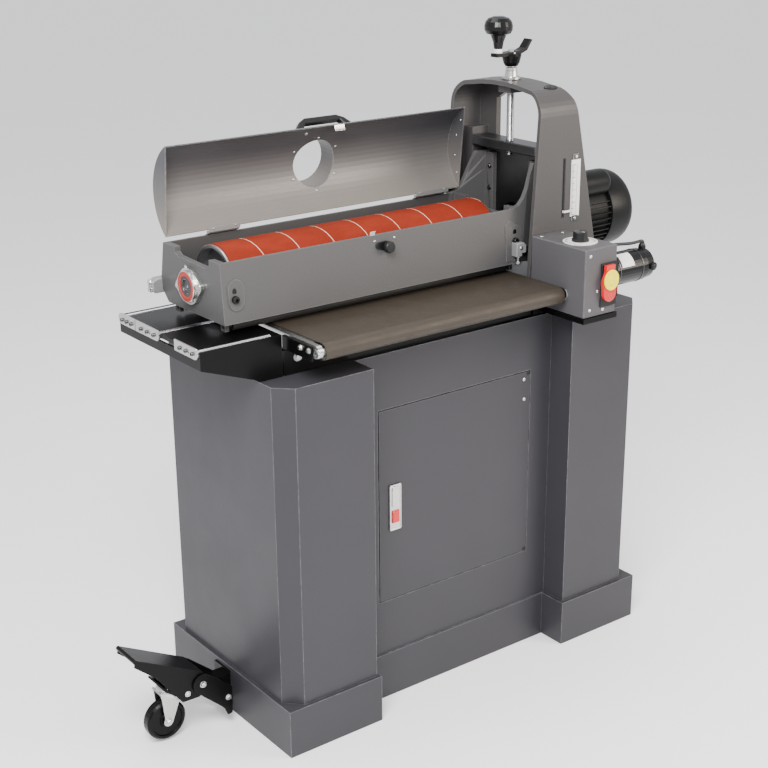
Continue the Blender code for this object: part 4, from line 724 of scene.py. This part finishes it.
def lifting_screw():
    """Threaded rod with its shoulder, standing for the plain CAD screw."""
    root, crest, bottom, top = 0.0072, 0.0080, 1.0600, 1.2342
    rise = SCREW_PITCH / 4.0

    def thread(z, turn):
        phase = (z / SCREW_PITCH - turn / TAU) % 1.0
        return root + (crest - root) * (1.0 - abs(2.0 * phase - 1.0))

    bm = bmesh.new()
    heights = [bottom + rise * row for row in range(int((top - bottom) / rise) + 1)]
    rings = add_skin(bm, "Z", (SCREW_X, 0.0), heights, 24, thread)
    bm.faces.new(rings[0])
    bm.faces.new(rings[-1])
    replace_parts(new_piece("lifting_screw", bm, "steel", "crank", angle=60.0), "height_screw")
    turned_piece("screw_shoulder", "crank", "zinc", (SCREW_X, 0.0, 1.2341), UP,
                 [(0.0, 0.0), (0.0120, 0.0), (0.0120, 0.0060), (0.0060, 0.0070), (0.0060, 0.0275),
                  (0.0, 0.0275)])


def crank_fittings():
    """Ferrule under the knob and the nut on the hub."""
    turned_piece("crank_ferrule", "crank_grip", "white", (0.2310, 0.0, 1.2717), UP,
                 [(0.0068, 0.0), (0.0088, 0.0), (0.0092, 0.0040), (0.0084, 0.0082), (0.0068, 0.0082)])
    fasteners("crank_hub_nut", "crank", [(SCREW_X, 0.0, 1.2690)], UP, 0.0078, "hex")


# ---- head
def trough_front(z):
    """Distance forward of the sloping front wall at a height."""
    return -0.1030 - (0.972 - z) * 0.0841


def trough_fittings():
    """Bolts and slots on the two bosses, knob base, screws, catch and flange bolts."""
    tilt = Vector((0.0, -1.0, -0.0841))
    for side, x, z, slot_z in (("left", -0.4832, 0.9040, 0.9166), ("right", 0.1880, 0.9070, 0.9236)):
        places = [(x, trough_front(z) - 0.0024, z)]
        fasteners("boss_bolt_" + side, "head", places, tilt, 0.0070, "socket", "gloss")
        place = (x, trough_front(slot_z) - 0.0024, slot_z)
        turned_piece("boss_slot_" + side, "head", "gloss", place, tilt,
                     [(0.0, -0.0010), (0.0078, -0.0010), (0.0078, 0.0004), (0.0, 0.0005)],
                     28, 35.0, (0.55, 1.0))
    z = 0.9500
    wall = trough_front(z)
    plate_piece("lock_base", "head", "satin", "Y",
                arc((-0.1400, z - 0.002), 0.0100, -90, 90, 10) + arc((-0.1570, z), 0.0070, 90, 270, 8),
                (wall - 0.0024, wall + 0.0006))
    places = [(-0.1660, trough_front(0.9536) - 0.0002, 0.9600), (-0.1180, trough_front(0.9564), 0.9600)]
    fasteners("lock_screws", "head", places, tilt, 0.0026)
    hook = [(-0.1038, 0.9715), (-0.1012, 0.9715), (-0.1012, 0.9790), (-0.1062, 0.9800),
            (-0.1062, 0.9784), (-0.1038, 0.9778)]
    plate_piece("catch_hook", "head", "zinc", "X", hook, (-0.1760, -0.1640), 0.0003)
    for end, y in (("front", -0.0660), ("rear", 0.0660)):
        places = [(0.2715, y, z) for z in (0.9780, 1.0250)]
        fasteners("flange_bolts_" + end, "head", places, LEFT, 0.0040, "hex", "dark_steel")


def bearing_fittings():
    """Red seal, two rings, two flange bolts, the end of the drum's shaft and a grease nipple."""
    face = low("drum_bearing", 0)
    turned_piece("bearing_seal", "head", "seal", (face - 0.0001, 0.0, DRUM_Z), LEFT,
                 [(0.0195, -0.0006), (0.0280, -0.0006), (0.0280, 0.0010), (0.0268, 0.0016),
                  (0.0205, 0.0016), (0.0195, 0.0010)], 40)
    turned_piece("bearing_ring", "head", "dark_steel", (face - 0.0001, 0.0, DRUM_Z), LEFT,
                 [(0.0136, -0.0006), (0.0194, -0.0006), (0.0194, 0.0005), (0.0136, 0.0009)], 40)
    turned_piece("bearing_rim", "head", "zinc", (face, 0.0, DRUM_Z), LEFT,
                 collar(0.0281, 0.0300, -0.0006, 0.0020, (0.0008, 0.0008)), 40)
    flange = face + 0.0040
    places = [(flange, -0.0375, 0.9160), (flange, 0.0375, 0.9040)]
    fasteners("bearing_bolts", "head", places, LEFT, 0.0044, "hex")
    turned_piece("shaft_end", "sanding_drum", "dark_steel", (low("drum", 0), 0.0, DRUM_Z), LEFT,
                 [(0.0, -0.0004), (0.0121, -0.0004), (0.0121, 0.0004), (0.0112, 0.0010), (0.0036, 0.0010),
                  (0.0036, -0.0002), (0.0, -0.0002)])
    turned_piece("grease_nipple", "head", "zinc", (flange + 0.003, 0.0080, 0.9415), (-0.3, 0.2, 1.0),
                 [(0.0, 0.0), (0.0030, 0.0), (0.0030, 0.0030), (0.0018, 0.0040), (0.0024, 0.0060),
                  (0.0, 0.0078)], 16)


def motor_fittings():
    """Round motor shell and capacitor housing, cooling ribs, cowl bars and housing screws."""
    start = low("main_motor", 0)
    profile = [(0.0, start), (0.0680, start), (0.0680, 0.3135), (0.0800, 0.3135), (0.0800, 0.3240),
               (0.0740, 0.3260), (0.0740, 0.4980), (0.0830, 0.5000), (0.0839, 0.5030), (0.0840, 0.5440),
               (0.0836, 0.5500), (0.0826, 0.5555), (0.0806, 0.5610), (0.0776, 0.5655), (0.0740, 0.5688),
               (0.0700, 0.5710), (0.0600, 0.5740), (0.0500, 0.5760), (0.0, 0.5765)]
    shell = turned_piece("motor_shell", "head", "motor", (0.0, 0.0, DRUM_Z), RIGHT, profile, 128, 24.0)
    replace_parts(shell, "main_motor")
    profile = [(0.0, 0.3420), (0.0200, 0.3424), (0.0255, 0.3445), (0.0284, 0.3500), (0.0288, 0.3560),
               (0.0288, 0.4880), (0.0282, 0.4940), (0.0255, 0.4985), (0.0200, 0.5005), (0.0, 0.5010)]
    housing = turned_piece("capacitor_shell", "head", "motor", (0.0, CAPACITOR_Y, CAPACITOR_Z), RIGHT,
                           profile, 64, 40.0)
    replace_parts(housing, "capacitor_box")
    bm = bmesh.new()
    beside = math.atan2(CAPACITOR_Z - DRUM_Z, CAPACITOR_Y)
    for count in range(40):
        turn = TAU * (count + 0.5) / 40
        apart = abs((turn - beside + math.pi) % TAU - math.pi)
        if apart < 0.42:
            continue
        rib = blade((0.0, DRUM_Z), turn, (0.0730, 0.0014), (0.0815, 0.0008))
        add_prism(bm, "X", rib, (0.3270, 0.4975))
    new_piece("motor_ribs", bm, "motor", "head")
    bar = ((0.0260, 0.5740), (0.0260, 0.5765), (0.0520, 0.5765), (0.0660, 0.5745), (0.0700, 0.5700),
           (0.0660, 0.5700))
    bm = bmesh.new()
    for count in range(32):
        out, side = outward(TAU * count / 32)
        rings = []
        for across in (0.0011, -0.0011):
            spots = [(x, out * r + side * across) for r, x in bar]
            rings.append([bm.verts.new((x, spot.x, spot.y + DRUM_Z)) for x, spot in spots])
            bm.faces.new(rings[-1])
        stitch(bm, *rings)
    new_piece("cowl_bars", bm, "motor", "head")
    places = [(0.3424, CAPACITOR_Y + dy, CAPACITOR_Z + dz) for dy, dz in ((-0.012, 0.012), (0.012, 0.014))]
    fasteners("capacitor_screws", "head", places, LEFT, 0.0028, "pan", "dark_steel")


def adjuster_fittings():
    """Spring adjusters of the pressure rollers: front right and rear left of the trough."""
    top, foot = 0.9500, 0.8660
    outline = [(0.1640, foot), (0.1880, foot)] + arc((0.1760, top - 0.0130), 0.0120, 0, 180, 12)
    bm = bmesh.new()
    add_prism(bm, "Y", outline, (-0.0016, 0.0010))
    for vertex in bm.verts:
        vertex.co.y += trough_front(vertex.co.z)
    new_piece("adjuster_pad", bm, "casting", "head", 0.0005)
    face = trough_front(0.8900)
    block = [(0.1790, 0.8765), (0.1945, 0.8765), (0.1945, 0.8830), (0.2050, 0.8830), (0.2050, 0.8985),
             (0.1990, 0.9050), (0.1790, 0.9050)]
    plate_piece("adjuster_block", "head", "pale", "Y", block, (face - 0.0180, face - 0.0005), 0.0014)
    fasteners("adjuster_block_screw", "head", [(0.1910, face - 0.0180, 0.8945)], FRONT, 0.0046)
    turned_piece("adjuster_spring_cap", "head", "satin", (0.2040, face - 0.0075, 0.8880), RIGHT,
                 collar(0.0, 0.0078, 0.0, 0.0118, (0.0012, 0.0018)), 28)
    turned_piece("adjuster_thumb_bolt", "head", "zinc", (0.1905, face - 0.0090, 0.8775), (0, 0, -1),
                 [(0.0, 0.0), (0.0062, 0.0), (0.0062, 0.0036), (0.0030, 0.0046), (0.0030, 0.0110),
                  (0.0036, 0.0114), (0.0070, 0.0120), (0.0074, 0.0170), (0.0050, 0.0196), (0.0, 0.0200)],
                 20)
    block = [(-0.5280, 0.8765), (-0.5225, 0.8720), (-0.4950, 0.8720), (-0.4950, 0.9000),
             (-0.5160, 0.9000), (-0.5280, 0.8945)]
    plate_piece("rear_adjuster_block", "head", "pale", "Y", block, (0.1120, 0.1330), 0.0014)
    places = [(-0.5280, 0.1225, z) for z in (0.8790, 0.8930)]
    fasteners("rear_adjuster_bolts", "head", places, LEFT, 0.0048, "hex")


def wound_strip():
    """Abrasive strip wound on the drum, with a shallow groove along its seam."""
    x0, x1 = low("abrasive_wrap", 0), high("abrasive_wrap", 0)
    around, along, cloth = 96, 220, 0.0684

    def grit_face(x, turn):
        phase = ((x + STAND_X - STRIP_START) / STRIP_PITCH - turn / TAU) % 1.0
        apart = min(phase, 1.0 - phase)
        return DRUM_R - 0.00008 - 0.00060 * max(0.0, 1.0 - apart / 0.012)

    bm = bmesh.new()
    stations = [x0 + (x1 - x0) * row / along for row in range(along + 1)]
    outer = add_skin(bm, "X", (0.0, DRUM_Z), stations, around, grit_face)
    inner = [add_skin(bm, "X", (0.0, DRUM_Z), [x], around, lambda x, turn: cloth)[0] for x in (x0, x1)]
    for one, two in ((inner[0], outer[0]), (outer[-1], inner[1]), (inner[1], inner[0])):
        stitch(bm, one, two)
    strip = new_piece("wound_strip", bm, "grit", "sanding_drum", angle=50.0)
    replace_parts(strip, "abrasive_wrap")
    turned_piece("drum_rim_band", "sanding_drum", "drum", (x0 - 0.0001, 0.0, DRUM_Z), LEFT,
                 collar(0.0625, cloth, 0.0, 0.0042, (0.0008, 0.0006)), 64)


# ---- cover
COVER_CHORD, COVER_SAGITTA = 0.174, 0.047
COVER_R = (COVER_CHORD ** 2 / 4.0 + COVER_SAGITTA ** 2) / (2.0 * COVER_SAGITTA)
COVER_PLACE = Matrix.Translation((0.0, 0.0889, 0.9835)) @ Matrix.Rotation(math.radians(5.7), 4, "X")


def on_cover(x, turn, radius):
    """Point and outward direction on the curved sheet; turn 0 is at its deepest line."""
    centre = (COVER_SAGITTA - COVER_R, COVER_CHORD / 2.0)
    local = Vector((x, centre[0] + radius * math.cos(turn), centre[1] + radius * math.sin(turn)))
    direction = Vector((0.0, math.cos(turn), math.sin(turn)))
    return COVER_PLACE @ local, COVER_PLACE.to_3x3() @ direction


def cover_fittings():
    """Rivets of the port and the end caps, screws of the handle, the hinges and the catch."""
    inner = COVER_R - 0.0020
    bm = bmesh.new()
    for count in range(6):
        spot = outward(TAU * (count + 0.5) / 6)[0] * 0.0575
        point, out = on_cover(-0.146 + spot.x, spot.y / COVER_R, inner)
        add_screw(bm, point, -out, 0.0028, "rivet")
    for x in (-0.184, -0.092):
        point, out = on_cover(x, math.radians(42.0), inner)
        add_screw(bm, point, -out, 0.0040, "pan", 0.5)
    new_piece("cover_rivets", bm, "zinc", "cover", angle=40.0)
    bm = bmesh.new()
    for x, facing_x in ((-0.5056, 1.0), (0.2030, -1.0)):
        for u, v in ((0.010, 0.030), (0.020, 0.065), (0.020, 0.109), (0.010, 0.144)):
            add_screw(bm, COVER_PLACE @ Vector((x, u, v)), (facing_x, 0, 0), 0.0026, "rivet")
    new_piece("end_cap_rivets", bm, "zinc", "cover", angle=40.0)
    for side, x in (("left", (-0.4150, -0.3450)), ("right", (0.0880, 0.1730))):
        hinge(side, x)
    bm = bmesh.new()
    tongue = [(0.0012, 0.1738), (0.0022, 0.1730), (-0.0010, 0.1640), (-0.0042, 0.1600),
              (-0.0050, 0.1610), (-0.0020, 0.1650)]
    add_prism(bm, "X", tongue, (-0.1300, -0.1060))
    bm.transform(COVER_PLACE)
    new_piece("cover_catch", bm, "zinc", "cover", 0.0003)


def hinge(side, x):
    """Butt hinge: knuckles on the axis, one leaf up the cover and one on the trough rim."""
    axis_y, axis_z, knuckles, gap = 0.0940, 0.9780, 5, 0.0006
    length = (x[1] - x[0]) / knuckles
    cover_leaf = [(0.0880, 0.9790), (0.0892, 0.9790), (0.0888, 0.9838), (0.0884, 0.9884),
                  (0.0872, 0.9884), (0.0876, 0.9838)]
    cover_tab = [(0.0880, 0.9790), (0.0940, 0.9795), (0.0940, 0.9808), (0.0880, 0.9804)]
    rim_leaf = [(0.0940, 0.9750), (0.0940, 0.9763), (0.1010, 0.9740), (0.1028, 0.9700),
                (0.1060, 0.9590), (0.1047, 0.9587), (0.1010, 0.9722)]
    sides = (("cover", (cover_leaf, cover_tab), (0.0875, 0.9852), (0, -1, -0.1), 0.0022),
             ("head", (rim_leaf,), (0.1052, 0.9640), (0, 1, 0.2), 0.0026))
    for first, (body, leaves, rivet, direction, size) in enumerate(sides):
        bm = bmesh.new()
        for k in range(first, knuckles, 2):
            matrix = facing((x[0] + length * k + gap / 2.0, axis_y, axis_z), RIGHT)
            add_turned(bm, matrix, collar(0.0, 0.0032, 0.0, length - gap), 20)
        for leaf in leaves:
            add_prism(bm, "X", leaf, x)
        for place in (x[0] + 0.010, x[1] - 0.010):
            add_screw(bm, (place, *rivet), direction, size, "rivet")
        new_piece("hinge_%s_%s" % (side, body), bm, "pale", body, angle=40.0)


# ---- lift pedal and casters
SIDES = (("near", -1.0), ("far", 1.0))


def pedal_fittings():
    """Bolts on the near and far cheeks, the pivot nuts and the bolts of the lever."""
    cheeks = (low("lift_bracket", 1) + 0.004, high("lift_bracket", 1) - 0.004)
    for (name, side), y in zip(SIDES, cheeks):
        fasteners("cheek_bolt_" + name, "stand", [(-0.5050, y, 0.0669)], (0, side, 0), 0.0048, "hex")
        place = (LEVER_X, y + side * 0.0008, LEVER_Z)
        fasteners("pivot_nut_" + name, "stand", [place], (0, side, 0), 0.0052, "hex")
    for (name, side), y in zip(SIDES, (low("lift_pedal", 1), high("lift_pedal", 1))):
        fasteners("lever_bolt_" + name, "lever", [(-0.5936, y, 0.1052)], (0, side, 0), 0.0046, "hex")


def caster_fittings():
    """Raceway, king-pin nut, plate screws and axle nuts of the swivel caster."""
    bm = bmesh.new()
    add_turned(bm, CASTER_PLACE, [(0.0200, -0.0105), (0.0245, -0.0100), (0.0258, -0.0060),
                                  (0.0245, -0.0022), (0.0200, -0.0022)], 40)
    new_piece("caster_raceway", bm, "zinc", "caster", angle=40.0)
    bm = bmesh.new()
    up, plate_top = CASTER_PLACE.to_3x3() @ Vector(UP), 0.0040
    add_screw(bm, CASTER_PLACE @ Vector((0.0, 0.0, plate_top)), up, 0.0070, "hex")
    for x in (-0.022, 0.018):
        for y in (-0.027, 0.027):
            add_screw(bm, CASTER_PLACE @ Vector((x, y, plate_top)), up, 0.0036)
    new_piece("caster_plate_bolts", bm, "zinc", "lever", angle=40.0)
    axle = CASTER_PLACE @ Vector((0.025, 0.0, -0.058))
    for name, side in SIDES:
        place = (axle.x, axle.y + side * 0.0175, axle.z)
        fasteners("axle_nut_" + name, "caster", [place], (0, side, 0), 0.0056, "hex")


def wheel_face(name, body, centre, radius, half):
    """Hub rings and spokes set into both faces of a wheel that turns about X."""
    corners = [(radius * 0.34, -0.0013), (radius * 0.77, -0.0018), (radius * 0.77, 0.0018),
               (radius * 0.34, 0.0013)]
    bm = bmesh.new()
    for side in (-1.0, 1.0):
        matrix = facing(centre, (side, 0, 0))
        add_turned(bm, matrix, collar(radius * 0.20, radius * 0.30, half * 0.80, half + 0.0006), 32)
        for count in range(8):
            spoke = matrix @ Matrix.Rotation(TAU * count / 8, 4, "Z")
            add_bar(bm, spoke, corners, half * 0.70, half * 0.93)
    new_piece(name, bm, "satin", body)


def fixed_wheel_fittings():
    """Hub faces and axle nuts of the two fixed wheels, and the bolts of their rail."""
    for end, y in (("front", -0.150), ("rear", 0.150)):
        wheel_face("fixed_hub_" + end, "fixed_" + end, (0.4890, y, WHEEL_Z), 0.0300, 0.0110)
        fasteners("fixed_axle_nut_" + end, "stand", [(0.5035, y, WHEEL_Z)], RIGHT, 0.0072, "hex")
    rail = high("right_plinth", 0) + 0.0043
    places = [(rail, y, 0.0640) for y in (-0.100, 0.0, 0.100)]
    fasteners("wheel_rail_bolts", "stand", places, RIGHT, 0.0058, "hex")


# ---- camera, floor and light
def camera():
    """The camera, standing to the left of and in front of the machine."""
    lens_data = bpy.data.cameras.new("camera")
    lens_data.lens = 68.26
    lens_data.clip_end = 200.0
    made = bpy.data.objects.new("camera", lens_data)
    bpy.context.collection.objects.link(made)
    azimuth, pitch, roll = 0.645, -0.3425, -0.0083
    made.matrix_world = (Matrix.Translation(at(-1.7784, -2.2741, 1.6353))
                         @ Matrix.Rotation(-azimuth, 4, "Z")
                         @ Matrix.Rotation(math.pi / 2.0 + pitch, 4, "X")
                         @ Matrix.Rotation(roll, 4, "Z"))
    bpy.context.scene.camera = made


def area_light(name, place, target, size, watts, tint=(1.0, 1.0, 1.0)):
    """One soft rectangular light aimed at a point."""
    data = bpy.data.lights.new(name, "AREA")
    data.shape = "RECTANGLE"
    data.size, data.size_y = size
    data.energy = watts
    data.color = tint
    made = bpy.data.objects.new(name, data)
    bpy.context.collection.objects.link(made)
    aim = (Vector(target) - Vector(place)).to_track_quat("-Z", "Y")
    made.matrix_world = Matrix.Translation(Vector(place)) @ aim.to_matrix().to_4x4()


def studio():
    """Pale floor, pale surroundings and three soft lights."""
    bm = bmesh.new()
    bmesh.ops.create_grid(bm, x_segments=1, y_segments=1, size=60.0)
    mesh = bpy.data.meshes.new("studio_floor")
    bm.to_mesh(mesh)
    bm.free()
    floor = bpy.data.objects.new("studio_floor", mesh)
    floor.location = (0.0, 0.0, -0.0005)
    mat, tree, shader, coords = blank("studio_floor")
    soft = ramp(tree, noise(tree, coords, 1.5), 0.3, 0.7)
    tree.links.new(mixed(tree, soft, (0.95, 0.95, 0.95), (0.93, 0.93, 0.93)),
                   shader.inputs["Base Color"])
    shader.inputs["Roughness"].default_value = 0.9
    shader.inputs["Emission Color"].default_value = (1.0, 1.0, 1.0, 1.0)
    shader.inputs["Emission Strength"].default_value = 0.20
    mesh.materials.append(mat)
    bpy.context.collection.objects.link(floor)
    world = bpy.data.worlds.new("studio")
    world.use_nodes = True
    back = next(n for n in world.node_tree.nodes if n.type == "BACKGROUND")
    back.inputs["Color"].default_value = (0.95, 0.96, 1.0, 1.0)
    back.inputs["Strength"].default_value = 1.05
    bpy.context.scene.world = world
    centre = (0.0, 0.0, 0.75)
    area_light("key", (-1.6, -1.5, 2.6), centre, (1.2, 1.2), 150.0)
    area_light("fill", (1.3, -1.6, 1.5), centre, (0.9, 0.9), 42.0, (1.0, 0.89, 0.78))
    area_light("top", (0.0, 0.6, 3.4), centre, (2.6, 1.4), 50.0)


dress_nodes()
door_fittings()
rear_fittings()
table_fittings()
belt_tension("front", -1.0)
belt_tension("rear", 1.0)
rail_fittings()
gear_motor_fittings()
control_fittings()
arch_fittings()
lifting_screw()
crank_fittings()
trough_fittings()
bearing_fittings()
motor_fittings()
adjuster_fittings()
wound_strip()
cover_fittings()
pedal_fittings()
caster_fittings()
fixed_wheel_fittings()
camera()
studio()
